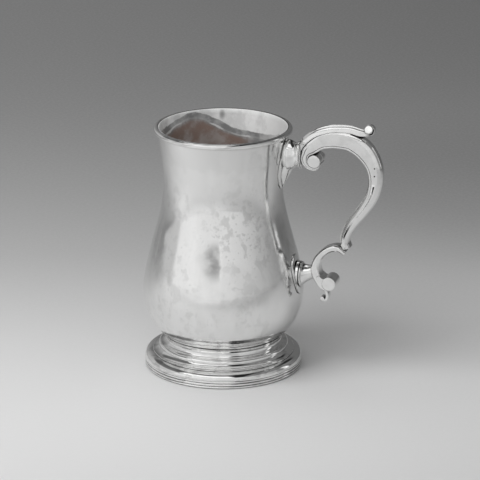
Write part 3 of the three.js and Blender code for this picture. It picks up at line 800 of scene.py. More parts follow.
def stained_silver(s):
    """The body's inside: clean near the mouth, then dull, then stained brown, in wavy bands, with a
    painted dark reflection high on the far wall.
    """
    n = Nodes("stained silver")
    place = n.split()

    def sideways(low, high, start, end):
        """A change towards the handle, between two distances from the body's axis."""
        return n.remap(place["X"], AXIS + low, AXIS + high, start, end)

    waves = n.cloud(BAND_WAVE_SIZE, 2, 0.4, distortion=0.4)
    waves = n.maths("MULTIPLY_ADD", n.cloud(BAND_RAGGED_SIZE, 3, 0.6), BAND_RAGGED, waves)
    height = n.maths("MULTIPLY_ADD", waves, BAND_WAVE, place["Z"])
    height = n.maths("ADD", height, sideways(-0.034, -0.004, -BAND_TILT, 0))

    def under(limits, rise=0.0):
        """1 under the lower of two heights and 0 over the higher, along the waves."""
        return n.remap(height, *(z + BAND_MIDDLE + rise for z in limits), 1, 0)

    behind = n.remap(place["Y"], -0.012, 0.004)
    dull = n.maths("MULTIPLY", under(DULL_FROM), behind)
    dull = n.maths("MULTIPLY", dull, sideways(0.006, 0.032, 1, 0.4))
    brown = n.maths("MULTIPLY", under(STAIN_FROM), behind)
    brown = n.maths("MULTIPLY", brown, sideways(-0.002, 0.01, 1, 0))
    seam = n.maths("MULTIPLY", n.maths("SUBTRACT", 1.0, under(SEAM_FROM)), under(SEAM_FROM, SEAM_HEIGHT))
    seam = n.maths("MULTIPLY", seam, n.remap(n.cloud(SEAM_BREAK_SIZE, 1), 0.42, 0.55, 0.1, 0.6))
    painted_reflection = n.near((AXIS + DARK_REFLECTION_PLACE[0], *DARK_REFLECTION_PLACE[1:]), DARK_REFLECTION_REACH)

    patches = n.remap(n.cloud(PATCH_SIZE, 4, 0.6), 0.35, 0.6, 0.6, 1)
    mottled = n.remap(n.cloud(MOTTLE_SIZE, 4, 0.6, (1, 1, 0.7)), 0.42, 0.62, 0, 0.25)
    mottled = n.maths("MAXIMUM", mottled, sideways(0.008, 0.034, 0, 0.4))
    base = n.blend(mottled, s.inside, s.dull)
    base = n.blend(n.maths("MULTIPLY", dull, patches), base, s.dull)
    base = n.blend(n.maths("MULTIPLY", brown, patches), base, s.stain)
    base = n.blend(n.maths("MULTIPLY", seam, behind), base, s.inside)
    # Painted dark reflection high on the far wall
    base = n.blend(n.maths("MULTIPLY", painted_reflection, 0.75), base, s.dull)
    roughness = n.maths("MULTIPLY_ADD", dull, DULL_ROUGHNESS - CLEAN_ROUGHNESS, CLEAN_ROUGHNESS)
    normal = n.bump(n.cloud(INSIDE_RIPPLE_SIZE, 3, 0.45), INSIDE_RIPPLE_DEPTH)
    return n.shade(base, roughness, normal, INSIDE_METALLIC)


def turned_silver(s):
    """Mouldings: bright polish, rubbed darker in patches, with old polish and painted shade in the
    corners.
    """
    n = Nodes("moulded silver")
    wear = n.remap(n.cloud(TURNED_WEAR_SIZE, 4, 0.6), 0.35, 0.75)
    base = n.blend(n.maths("MULTIPLY", wear, 0.25), s.colour, s.tarnish)
    rubbed = n.remap(n.cloud(RUBBED_SIZE, 3, 0.5, (1, 1, 3), 1.2), 0.54, 0.62, 0, 0.22)
    base = n.blend(rubbed, base, s.grime_and_shade)
    # Old polish and painted shade in the corners between mouldings
    base = n.blend(n.corner_polish_and_shade(reach=0.0014, strength=0.9, low=0.2, high=0.74), base, s.grime_and_shade)
    roughness = n.remap(n.cloud(GLOSS_SIZE, 3), 0.3, 0.7, s.polish * 0.7, s.polish * 1.6)
    normal = n.bump(n.cloud(TURNED_RIPPLE_SIZE, 1, 0.3), TURNED_RIPPLE_DEPTH)
    return n.shade(base, roughness, normal)


def cast_silver(s):
    """Handle castings: worn polish over a slightly uneven skin, with old polish and painted shade
    darkening the hollows.
    """
    n = Nodes("cast silver")
    wear = n.remap(n.cloud(CAST_WEAR_SIZE, 4, 0.6), 0.4, 0.75)
    base = n.blend(n.maths("MULTIPLY_ADD", wear, 0.35, 0.12), s.colour, s.tarnish)
    # Old polish and painted shade in the hollows, grooves and joins
    base = n.blend(n.corner_polish_and_shade(reach=0.0018, strength=1, low=0.4, high=0.95), base, s.grime_and_shade)
    roughness = n.remap(n.cloud(GLOSS_SIZE, 3), 0.3, 0.7, s.polish, s.polish * 2)
    normal = n.bump(n.cloud(CAST_SKIN_SIZE, 3, 0.55), CAST_SKIN_DEPTH)
    normal = n.bump(n.cloud(CAST_GRAIN_SIZE, 2, 0.5), CAST_GRAIN_DEPTH, normal)
    return n.shade(base, roughness, normal)


def silver(name):
    """The named material, made the first time it is asked for."""
    makers = {
        "raised silver": raised_silver, "stained silver": stained_silver,
        "moulded silver": turned_silver, "cast silver": cast_silver,
    }
    return bpy.data.materials.get(name) or makers[name](bpy.context.scene.tankard_silver)


# Operators

# How far the rounded rim of the sheet sinks into the outline's top
RIM_SINK = 0.0001


class TANKARD_OT_body(Operator):
    """Raises the body: a thin shell with soft hammer waves, a dent, a crease and a stained inside"""

    bl_idname = "tankard.body"
    bl_label = "Body"

    def execute(self, context):
        s = context.scene.tankard_body
        outside = body_outline(s, MESH_STEPS)
        inside = inward(outside, s.wall)
        inside[0, 1] = outside[0, 1]
        inside[-1] = (0, s.bottom_height + s.wall)
        rim = arc((s.mouth_radius - s.wall / 2, s.height - RIM_DROP), s.wall / 2, 0, 180, 6)
        profile = joined(outside[::-1], rim[1:-1] - (0, RIM_SINK), inside)
        shell = lathe(profile, s.sides, body_wave(s))
        body = make_piece("raised_body", [shell], "body", "raised_silver")
        body.data.materials.append(silver("stained silver"))

        # The lathe's rows run up the outside and down the inside, and its two poles come last
        first_inside = (len(outside) + 2) * s.sides
        outer_pole = len(body.data.vertices) - 2
        is_inside = [int(first_inside <= face.vertices[2] and outer_pole not in face.vertices)
                     for face in body.data.polygons]
        body.data.polygons.foreach_set("material_index", is_inside)
        return {"FINISHED"}


# How full the lip wire's section is: 1 is a half circle, and less is squarer
LIP_FULLNESS = 0.55


class TANKARD_OT_lip(Operator):
    """Adds the half-round wire round the mouth"""

    bl_idname = "tankard.lip"
    bl_label = "Lip moulding"

    def execute(self, context):
        s = context.scene.tankard_body
        inner = s.mouth_radius + SOLDER / 3
        half = s.lip_height / 2
        reach = s.lip_projection - SOLDER / 3
        swell = []
        for a in np.radians(np.linspace(-90, 90, 33)):
            out = max(math.cos(a), 0) ** LIP_FULLNESS
            swell.append((inner + reach * out, s.height - half + half * math.sin(a)))
        profile = joined(swell, [(inner, s.height - s.lip_height)])
        make_piece("mouth_wire", [lathe(profile, s.sides)], "lip_moulding", "moulded_silver")
        return {"FINISHED"}


# How far the hollow between the bead and the shelf runs before it levels out
SHELF_SCOOP = 0.0012


class TANKARD_OT_foot(Operator):
    """Builds the foot: collar, moulded skirt and reeded base wire"""

    bl_idname = "tankard.foot"
    bl_label = "Foot"

    def execute(self, context):
        s = context.scene.tankard_foot
        body = context.scene.tankard_body
        collar_foot = s.seat_height - s.collar_height
        inner = [(body_radius(body, z) + SOLDER / 3, z)
                 for z in np.linspace(collar_foot, s.seat_height, 8)]
        scoop = bezier([(s.collar_radius, s.seat_height),
                        (s.waist_radius, s.seat_height - s.collar_height / 2),
                        (s.waist_radius, collar_foot)], 16)
        collar = joined(inner, scoop, [inner[0]])
        make_piece("foot_fillet", [lathe(collar, body.sides)], "foot_collar", "moulded_silver")

        bead_top = s.bead_height + s.bead_radius
        bead = arc((s.bead_ring, s.bead_height), s.bead_radius, 90, -60, 20)
        under = s.shelf_height - s.rim_step - s.wall
        skirt = joined(
            bezier([(s.waist_radius, collar_foot), (s.waist_radius, bead_top),
                    (s.bead_ring, bead_top)], 20),
            bead,
            bezier([bead[-1], (bead[-1][0] + SHELF_SCOOP, s.shelf_height),
                    (s.shelf_radius, s.shelf_height)], 14),
            arc((s.shelf_radius, s.shelf_height - s.rim_step / 2), s.rim_step / 2, 90, -90, 8),
            bezier([(s.shelf_radius, s.shelf_height - s.rim_step),
                    (s.base_radius, s.shelf_height - s.rim_step), (s.base_radius, s.wire_height)], 28),
            bezier([(s.base_radius - s.wall, s.wire_height), (s.base_radius - s.wall, under),
                    (s.shelf_radius - s.wall, under)], 10),
            [(s.bead_ring - s.wall, s.shelf_height), (s.bead_ring - s.wall, s.bead_height),
             (s.waist_radius - s.wall, bead_top + s.wall), (s.waist_radius - s.wall, collar_foot)],
            [(s.waist_radius, collar_foot)],
        )
        make_piece("foot_moulding", [lathe(skirt, body.sides)], "foot_skirt", "moulded_silver")

        reed_height = s.wire_height / s.reeds
        edge = []
        for k in reversed(range(s.reeds)):
            for a in np.radians(np.linspace(90, -90, 13)):
                edge.append((s.base_radius - s.reed_projection * (1 - math.cos(a)),
                             (k + 0.5 + 0.5 * math.sin(a)) * reed_height))
        inner = s.base_radius - s.wire_width
        wire = joined(edge, [(inner, 0), (inner, s.wire_height), edge[0]])
        make_piece("foot_reeds", [lathe(wire, body.sides)], "foot_base_wire", "moulded_silver")
        return {"FINISHED"}


def seat_face(scene):
    """How far from the origin the collar's outer face lies, along X."""
    body, handle = scene.tankard_body, scene.tankard_handle
    return AXIS + body_radius(body, handle.upper_seat) + handle.upper_reach


def wrapped(centre, disc, turn, steps, start, growth, tail=0):
    """A strap wrapped clockwise round a disc and thicker as it leaves it, with a thin tail under it."""
    points = []
    for degrees in np.linspace(-tail, turn, steps + 1):
        if degrees < 0:
            thickness = start * max(1 + degrees / tail, 0.12)
        else:
            thickness = start + growth * (degrees / 90) ** 1.6
        angle = math.radians(-90 - degrees)
        reach = disc + thickness / 2
        points.append((centre[0] + reach * math.cos(angle), centre[1] + reach * math.sin(angle),
                       thickness / 2))
    return points


def drawn(points, reach, rise, drop, half, x):
    """Path points from shares of a reach, a rise or drop, and a half thickness."""
    return [(x + u * reach, v * (rise if v > 0 else drop), h * half) for u, v, h in points]


# The volutes' centres, from the collar's face plane and from the seat's height
UPPER_VOLUTE = (0.0075, -0.0018)
LOWER_VOLUTE = (0.0164, -0.0026)


def upper_path(scene):
    """The middle line of the upper scroll, from under its volute to its lower tip."""
    s = scene.tankard_handle
    x = seat_face(scene)
    centre = (x + UPPER_VOLUTE[0], UPPER_VOLUTE[1])
    points = wrapped(centre, s.disc_radius, turn=163, steps=8, start=0.002, growth=0.00195, tail=62)
    drop = s.upper_seat - s.lower_seat - s.tip_rise
    points += drawn([
        (0.25, 0.804, 0.809), (0.373, 0.951, 0.872), (0.499, 1, 0.915), (0.67, 0.941, 0.979),
        (0.838, 0.549, 1), (0.964, -0.041, 0.83), (1, -0.208, 0.755), (0.944, -0.402, 0.713),
        (0.811, -0.578, 0.681), (0.687, -0.714, 0.638), (0.608, -0.837, 0.532), (0.588, -0.929, 0.447),
        (0.613, -1, 0.489),
    ], s.back_reach, s.shoulder_rise, drop, s.half_thickness, x)
    return Path(points, s.upper_seat)


def lower_path(scene):
    """The middle line of the lower scroll, from its volute to its upper tip."""
    s = scene.tankard_handle
    x = seat_face(scene)
    centre = (x + LOWER_VOLUTE[0], LOWER_VOLUTE[1])
    points = wrapped(centre, s.lower_disc_radius, turn=90, steps=4, start=0.0004, growth=0.0031)
    points += drawn([
        (0.339, 0.172, 1), (0.355, 0.491, 0.909), (0.479, 0.769, 0.864), (0.649, 0.947, 0.795),
        (0.835, 1, 0.773), (1, 0.858, 0.545),
    ], s.lower_reach, s.lower_rise, 0, s.lower_half_thickness, x)
    return Path(points, s.lower_seat)


# The bracket behind the upper socket: distances from its root, and half heights
BRACKET = ((0, 0.0078), (0.0026, 0.0087), (0.0046, 0.0086), (0.0056, 0.0076), (0.0074, 0.0066))
BRACKET_SAG, BRACKET_FLAT = 0.0006, 0.6
# How far the bracket's root and the socket's start lie inside the body's outline at the seat
ROOT_SINK, SOCKET_SINK = 0.0005, 0.0004
# How far the tail's edge starts above the drop's tip, and how much the tail narrows to that edge
TAIL_GAP, TAIL_KEEL = 0.0004, 0.7
# The shares of its length at which the socket leaves the bracket and is narrowest, and its swell there
SOCKET_START, SOCKET_WAIST = 0.3, 0.75
START_SWELL, WAIST_SWELL = 1.12, 0.92
# How far the socket sags at its start
SOCKET_SAG = 0.001
# The collar's two beads: where each starts and ends as a share of its length, and its rise
COLLAR_BEADS = ((0, 0.6, 1), (0.6, 1, 0.6))
BEAD_STEPS = 8


class TANKARD_OT_upper_seat(Operator):
    """Builds the drop on the neck, the waisted socket and the beaded collar"""

    bl_idname = "tankard.upper_seat"
    bl_label = "Upper seat"

    def execute(self, context):
        scene = context.scene
        body, s = scene.tankard_body, scene.tankard_seat
        seat = scene.tankard_handle.upper_seat
        neck = AXIS + body_radius(body, seat)
        tip = body.height - body.lip_height - s.drop_gap - s.drop_length
        drop = applied_plate(body, tip, tip + s.drop_length, end_half=0.0009, half=s.drop_half_width,
                             thickness=s.drop_thickness, swell=lambda t: math.sin(math.pi * t**0.75))
        stations = []
        for share in np.linspace(0, 1, 25):
            low = tip + TAIL_GAP + s.tail_rise * share**0.9
            half = (seat - low) / 2
            stations.append((neck - ROOT_SINK + s.tail_reach * share, low + half, half,
                             s.tail_half_width))
        tail = oval_tube(stations, TAIL_KEEL)
        stations = []
        for x, half in bezier(BRACKET, 24):
            stations.append((neck - ROOT_SINK + x, seat - BRACKET_SAG, half, half * BRACKET_FLAT))
        bracket = outside_wall(body, oval_tube(stations))
        make_piece("neck_drop", [drop, tail, bracket], "upper_drop", "cast_silver")

        face = seat_face(scene)
        start, end = neck - SOCKET_SINK, face - s.collar_length
        stations = []
        for share in np.linspace(SOCKET_START, 1, 33):
            waist = eased(SOCKET_START, SOCKET_WAIST, share)
            swell = START_SWELL + (WAIST_SWELL - START_SWELL) * waist
            swell += (1 - WAIST_SWELL) * eased(SOCKET_WAIST, 1, share)
            sag = SOCKET_SAG * (1 - eased(0.45, 1, share))
            stations.append((start + (end - start) * share, seat - sag,
                             s.socket_half_height * swell, s.socket_half_width * swell))
        make_piece("neck_socket", [oval_tube(stations)], "upper_socket", "cast_silver")

        stations = [(end, seat, s.socket_half_height, s.socket_half_width)]
        for low, high, rise in COLLAR_BEADS:
            for k in range(1, BEAD_STEPS + 1):
                x = end + s.collar_length * (low + (high - low) * k / BEAD_STEPS)
                swell = s.bead_rise * rise * math.sin(math.pi * k / BEAD_STEPS)
                stations.append((x, seat, s.socket_half_height + swell, s.socket_half_width + swell))
        make_piece("handle_beads", [oval_tube(stations)], "handle_collar", "cast_silver", sharp=50)
        return {"FINISHED"}


# How much thinner the applied plates are along their edges
PLATE_EDGE_THINS = 0.35


def applied_plate(body, low, high, end_half, half, thickness, swell):
    """A plate that lies on the body between two heights, with a half width of end_half at its ends."""
    rings = []
    for t in np.linspace(0, 1, 49):
        z = low + (high - low) * t
        reach = end_half + (half - end_half) * swell(t)
        radius = body_radius(body, z)
        ys = np.linspace(-reach, reach, 25)
        inner = [(AXIS + math.sqrt((radius + SOLDER / 3) ** 2 - y * y), y, z) for y in ys]
        outer = []
        for y in ys:
            edge = 1 - PLATE_EDGE_THINS * abs(y / reach) ** 6
            outer.append((AXIS + math.sqrt((radius + thickness * edge) ** 2 - y * y), y, z))
        rings.append(inner + outer[::-1])
    return skin(rings)


def outside_wall(body, shell):
    """The same shell, with what would reach through the body's wall drawn back into the wall."""
    points, faces = shell
    x, y, z = np.array(points, float).T
    radius = body_radius(body, z) - SOCKET_SINK
    x = np.maximum(x, AXIS + np.sqrt(radius**2 - y**2))
    return list(zip(x, y, z)), faces


# Shares of the upper scroll's path over which the bevel inside its lower end sets in
HEEL = (0.68, 0.86)
# The same for the rounding along its back, and for the line beside the outer edge, which fades out
BACK, LINE_END = (0.5, 0.62), (0.34, 0.4)
# Where a lighter rounding comes and goes over the shoulder, and its share of the back's
SHOULDER, SHOULDER_END, SHOULDER_SHARE = (0.26, 0.32), (0.4, 0.46), 0.4
# A strap thinner than this has its edges and lines scaled down with it
FULL_HALF_THICKNESS = 0.0025
# Width of the plain rim between the strap's edge and the line cut beside it
RIM_WIDTH = 0.0006
# The upper vent, from the collar's face plane and down from the seat, and the next one's distance
VENT_PLACE, VENT_STEP = (0.0401, -0.0031), 0.0042


def half_section(s, side):
    """The section of one cast half, with bevels and a fine line cut beside each edge."""

    def section(half, t):
        wide, scale = s.half_width, min(1, half / FULL_HALF_THICKNESS)
        heel = eased(*HEEL, t)
        flank = eased(*BACK, t) + SHOULDER_SHARE * (eased(*SHOULDER, t) - eased(*SHOULDER_END, t))
        inner = s.bevel / 3 + (s.heel_bevel - s.bevel / 3) * heel
        outer = s.bevel / 3 + (s.flank_bevel - s.bevel / 3) * flank
        inner, outer = min(inner, half * 0.8) * scale, min(outer, half * 0.8) * scale
        rim, cut = RIM_WIDTH * scale, s.groove_width / 2 * scale
        low = s.groove_depth * max(1 - heel, 0.01) * scale
        high = s.groove_depth * max(1 - eased(*LINE_END, t), 0.01) * scale
        first, last = -half + inner + rim, half - outer - rim
        edge = [(-half, 0), (-half, wide - inner), (-half + inner, wide), (first, wide),
                (first + cut, wide - low), (first + 2 * cut, wide), (0, wide),
                (last - 2 * cut, wide), (last - cut, wide - high), (last, wide),
                (half - outer, wide), (half - outer * 0.3, wide - outer * 0.35),
                (half, wide - outer), (half, 0)]
        return [(u, side * y) for u, y in rounded(edge, 0.0001)]

    return section


class TANKARD_OT_handle(Operator):
    """Builds the two cast halves of the upper scroll, with vents in the left one"""

    bl_idname = "tankard.handle"
    bl_label = "Handle halves"

    def execute(self, context):
        scene = context.scene
        s = scene.tankard_handle
        path = upper_path(scene)
        x = seat_face(scene)
        centre = (x + UPPER_VOLUTE[0], s.upper_seat + UPPER_VOLUTE[1])
        for name, side in (("half_left", -1), ("half_right", 1)):
            near, far = sorted((0, side * s.disc_half_width))
            shells = [strap(path, half_section(s, side), 220), pin(centre, s.disc_radius, near, far)]
            half = make_piece("scroll_" + name, shells, "handle_" + name, "cast_silver", sharp=30)
            if side < 0:
                vents = []
                for k in range(2):
                    spot = (x + VENT_PLACE[0], s.upper_seat + VENT_PLACE[1] - VENT_STEP * k)
                    vents.append(pin(spot, s.vent_radius, -s.half_width - 0.001,
                                     -s.half_width + 0.0015, 0.00005, 20))
                cut_away(half, vents)
        return {"FINISHED"}


# Share of the leaf's length at which it starts to thin towards the curl, and by how much it thins
LEAF_THINS_FROM, LEAF_THINS_BY = 0.8, 0.0012
# The leaf is never thinner than this
LEAF_EDGE = 0.0003
# The angles between which the tip rolls up, in degrees from straight ahead
CURL_FROM, CURL_TO = -100, 150
# How much smaller the roll gets on its way, and how much thinner and narrower as shares
CURL_CLOSES, CURL_THINS, CURL_NARROWS = 0.0004, 0.5, 0.2
# The core of the curl, and the tilted bud on each side of it: its place from the curl's middle and
# side, its lean sideways and up, and its size
CORE_RADIUS = 0.002
BUD_PLACE = (-0.0002, 0.0001, 0.0004)
BUD_LEAN = (0.85, 0.53)
BUD_HALF_LENGTH, BUD_EDGE = 0.0009, 0.0005


def leaf_line(scene):
    """The underside of the leaf: along the back of the scroll, then off it to the foot of the curl."""
    s, leaf = scene.tankard_handle, scene.tankard_leaf
    path, x = upper_path(scene), seat_face(scene)
    seat = []
    for t in np.linspace(0, 0.7, 240):
        centre, across, half = path.station(t)
        seat.append(centre + across * (half + 0.00005))
    first = next(k for k, p in enumerate(seat) if p[1] > s.upper_seat + leaf.rise and p[0] > x)
    last = next(k for k, p in enumerate(seat) if k > first and p[0] > x + leaf.lift)
    seat = seat[first : last + 1]
    foot = np.array([x + leaf.curl_reach, s.upper_seat + leaf.curl_rise - leaf.curl_radius])
    ahead = seat[-1] - seat[-2]
    bend = seat[-1] + ahead / np.linalg.norm(ahead) * (foot[0] - seat[-1][0]) / 2
    return np.array([*seat, *bezier([seat[-1], bend, foot], 24)[1:]])


def leaf_blade(line, leaf):
    """The crowned and fluted leaf over its underside."""
    rings = []
    along = np.gradient(line, axis=0)
    along /= np.linalg.norm(along, axis=1)[:, None]
    for k, (point, step) in enumerate(zip(line, along)):
        share = k / (len(line) - 1)
        up = np.array([-step[1], step[0]])
        reach = leaf.half_width + (leaf.tip_half_width - leaf.half_width) * share**2
        thick = leaf.thickness + (leaf.tip_thickness - leaf.thickness) * share
        thick -= max(0, (share - LEAF_THINS_FROM) / (1 - LEAF_THINS_FROM)) ** 2 * LEAF_THINS_BY
        ring = []
        for u in np.linspace(-1, 1, 91):
            flute = leaf.flute_depth * (1 - abs(math.cos(math.pi * 1.5 * u)))
            spot = point + up * max(thick - leaf.crown * u * u - flute, LEAF_EDGE)
            ring.append((spot[0], u * reach, spot[1]))
        ring += [(point[0], reach, point[1]), (point[0], -reach, point[1])]
        rings.append(ring)
    return skin(rings)


def leaf_curl(curl, leaf):
    """The rolled tip of the leaf."""
    rings = []
    for degrees in np.linspace(CURL_FROM, CURL_TO, 60):
        a = math.radians(degrees)
        share = (degrees - CURL_FROM) / (CURL_TO - CURL_FROM)
        outer = leaf.curl_radius - CURL_CLOSES * share
        inner = outer - leaf.curl_wall * (1 - CURL_THINS * share)
        reach = leaf.tip_half_width * (1 - CURL_NARROWS * share)
        edge = rounded([(inner, -reach), (outer, -reach), (outer, reach), (inner, reach),
                        (inner, -reach)], 0.0002)[1:-1]
        rings.append([(curl[0] + r * math.cos(a), y, curl[1] + r * math.sin(a)) for r, y in edge])
    return skin(rings)


class TANKARD_OT_leaf(Operator):
    """Lays the fluted leaf over the handle's shoulder and curls its tip"""

    bl_idname = "tankard.leaf"
    bl_label = "Leaf cap"

    def execute(self, context):
        scene = context.scene
        leaf = scene.tankard_leaf
        curl = (seat_face(scene) + leaf.curl_reach, scene.tankard_handle.upper_seat + leaf.curl_rise)
        shells = [leaf_blade(leaf_line(scene), leaf), leaf_curl(curl, leaf),
                  pin(curl, CORE_RADIUS, -leaf.tip_half_width, leaf.tip_half_width)]
        for side in (-1, 1):
            place = (curl[0] + BUD_PLACE[0], side * (leaf.tip_half_width + BUD_PLACE[1]),
                     curl[1] + BUD_PLACE[2])
            lean = (0, side * BUD_LEAN[0], BUD_LEAN[1])
            shells.append(button(place, lean, leaf.bud_radius, BUD_HALF_LENGTH, BUD_EDGE))
        make_piece("leaf", shells, "leaf_cap", "cast_silver", sharp=45)
        return {"FINISHED"}


# The lower volute is as wide as its pin, and the scroll narrows between these shares of its path
LOWER_NARROWS = (0.3, 0.7)
# Rounding of the lower scroll's edges
LOWER_EDGE = 0.00025
# How far the lower pin's centre lies from the volute's, towards the body
PIN_BACK = 0.0003
# The web between the lower pin and the strap: the angle at which it leaves the pin, its valley as
# shares of the pin's radius, how far it bulges over the valley, the shares of the path that it
# joins, and how far it stays inside the pin and the strap
WEB_ANGLE, WEB_VALLEY, WEB_BULGE, WEB_JOIN, WEB_INSET = 125, (-0.97, 0.6), 0.0006, (0.38, 0.46), 0.0002

# The ring on the belly plate, as distances back from its face and radii, and the bead at its face
RING_STEPS = ((0.0012, 0.0068), (0.0009, 0.0069))
BEAD_RADIUS, BEAD_HALF_LENGTH, BEAD_RISE = 0.0065, 0.00045, 0.0005
# Width of the lower socket as a share of its height
SOCKET_FLAT = 0.92
# The place of the ball at the hook's tip, as shares of the hook's reach and drop
HOOK_BALL_PLACE = (0.81, 0.924)


def lower_section(s):
    """The section of the lower scroll, which is wide at its volute and narrower at its tip."""

    def section(half, t):
        flare = 1 - eased(*LOWER_NARROWS, t)
        rim = s.lower_bevel * (1 - 0.5 * flare)
        bevel = min(rim, half * 0.6)
        wide = s.lower_half_width + (s.lower_disc_half_width - s.lower_half_width) * flare
        edge = [(-half, 0), (-half, wide - rim), (-half + bevel, wide), (half - bevel, wide),
                (half, wide - rim), (half, 0)]
        near = rounded(edge, LOWER_EDGE)[1:-1]
        return [*[(u, y) for u, y in near], *[(u, -y) for u, y in near[::-1]]]

    return section


def hook_section(seat):
    """The section of the hook, a flat strip with softened edges."""

    def section(half, t):
        wide = seat.hook_half_width
        edge = [(half, 0), (half, wide), (-half, wide), (-half, -wide), (half, -wide), (half, 0)]
        return rounded(edge, 0.0004)[:-1]

    return section


def web_outline(path, end, radius):
    """The flat web that fills the corner between the lower pin and the strap above it."""
    angle = math.radians(WEB_ANGLE)
    top = end + radius * np.array([math.cos(angle), math.sin(angle)])
    stations = [path.station(t) for t in np.linspace(*WEB_JOIN, 6)]
    middle, across, half = stations[-1]
    leave = middle - across * (half - WEB_INSET)
    valley = end + (WEB_VALLEY[0] * radius, WEB_VALLEY[1] * radius)
    return joined([end], bezier([top, valley + (WEB_BULGE, 0), valley, leave], 16),
                  [place for place, across, half in stations[::-1]])


class TANKARD_OT_lower_seat(Operator):
    """Builds the lower scroll, its socket, its plate and the hook under it"""

    bl_idname = "tankard.lower_seat"
    bl_label = "Lower seat"

    def execute(self, context):
        scene = context.scene
        body, s, seat = scene.tankard_body, scene.tankard_handle, scene.tankard_seat
        path = lower_path(scene)
        x = seat_face(scene)
        end = np.array([x + LOWER_VOLUTE[0] - PIN_BACK, s.lower_seat + LOWER_VOLUTE[1]])
        reach = s.lower_disc_half_width
        web = web_outline(path, end, s.lower_disc_radius)
        shells = [strap(path, lower_section(s), 140),
                  pin(end, s.lower_disc_radius, -reach, reach, LOWER_EDGE),
                  slab(web, -reach + WEB_INSET, reach - WEB_INSET)]
        make_piece("c_scroll", shells, "lower_scroll", "cast_silver", sharp=30)

        plate = applied_plate(body, s.lower_seat - seat.plate_half_length,
                              s.lower_seat + seat.plate_half_length, end_half=0.0008,
                              half=seat.plate_half_width, thickness=seat.plate_thickness,
                              swell=lambda t: math.sqrt(max(1 - (2 * t - 1) ** 2, 0)))
        make_piece("belly_plate", [plate], "lower_plate", "cast_silver")

        start = AXIS + body_radius(body, s.lower_seat)
        face = start + SOLDER + seat.plate_thickness + seat.ring_length
        outline = [(start, seat.ring_radius), (face - seat.ring_length, seat.ring_radius)]
        outline += [(face - back, radius) for back, radius in RING_STEPS]
        outline += [(face - BEAD_HALF_LENGTH * (1 - math.sin(a)), BEAD_RADIUS + BEAD_RISE * math.cos(a))
                    for a in np.radians(np.linspace(-60, 90, 9))]
        stations = [(at, s.lower_seat, radius, radius * SOCKET_FLAT) for at, radius in outline]
        length_left = x + seat.cone_reach - face
        for share in np.linspace(0.03, 1, 20):
            radius = seat.cone_radius + seat.cone_flare * (1 - share) ** 2.4
            stations.append((face + length_left * share, s.lower_seat + seat.cone_rise * share,
                             radius, radius * SOCKET_FLAT))
        socket = outside_wall(body, oval_tube(stations))
        make_piece("belly_socket", [socket], "lower_socket", "cast_silver", sharp=50)

        hook = Path(drawn([
            (0.871, -0.447, 1), (0.966, -0.644, 1), (1, -0.803, 0.944), (0.959, -0.947, 0.889),
            (0.878, -1, 0.889),
        ], seat.hook_reach, 0, seat.hook_drop, seat.hook_half_thickness, x), s.lower_seat)
        ball = (x + HOOK_BALL_PLACE[0] * seat.hook_reach,
                s.lower_seat - HOOK_BALL_PLACE[1] * seat.hook_drop)
        shells = [strap(hook, hook_section(seat), 40),
                  pin(ball, seat.hook_ball, -seat.hook_half_width, seat.hook_half_width)]
        make_piece("hook", shells, "tail_curl", "cast_silver")
        return {"FINISHED"}


class TANKARD_OT_stage(Operator):
    """Sets the floor, the lamps, the world and the camera"""

    bl_idname = "tankard.stage"
    bl_label = "Stage"

    def execute(self, context):
        scene = context.scene
        s = scene.tankard_stage
        towards = Vector((math.sin(s.azimuth), -math.cos(s.azimuth), 0))
        right = Vector((math.cos(s.azimuth), math.sin(s.azimuth), 0))
        make_floor(s, towards, right)
        make_lamps(s, towards, right)
        make_world(towards, right)

        aim = Vector((AXIS, 0, s.aim_height)) + right * s.aim_right
        back = towards * math.cos(s.elevation) + Vector((0, 0, math.sin(s.elevation)))
        data = bpy.data.cameras.new("camera")
        data.sensor_width = 36
        data.lens = s.lens
        data.clip_end = 50
        camera = bpy.data.objects.new("camera", data)
        camera.location = aim + back * s.distance
        camera.rotation_euler = (-back).to_track_quat("-Z", "Y").to_euler()
        scene.collection.objects.link(camera)
        scene.camera = camera
        scene.view_settings.view_transform = "Standard"
        return {"FINISHED"}


# How far the floor reaches in front, to the left, and behind and to the right
FLOOR_FRONT, FLOOR_LEFT, FLOOR_FAR = 2, 2.2, 8
# The run over which the floor changes colour, from in front of the piece to behind it; the colours paint
# in the fall of light, kept pale far in front to make up for the weaker light there and greying behind
# the piece
FLOOR_RUN = (-1.2, 0.9)
FLOOR_STOPS = (
    (0.0, "near_floor"), (0.36, "front_floor"), (0.45, "front_floor"), (0.545, "near_floor"),
    (0.66, "middle_floor"), (0.82, "far_floor"), (1.0, "far_floor"),
)
# Painted shade: how the floor dims from left to right, away from the lamp on the left
SIDE_RUN, SIDE_FADE = (-0.3, 0.32), (1.1, 0.84)
# A soft shade on the floor: how far to the right and back it lies, its reach and its depth
SHADE_RIGHT, SHADE_BACK, SHADE_REACH, SHADE_DEPTH = 0.13, 0.33, 0.2, 0.17


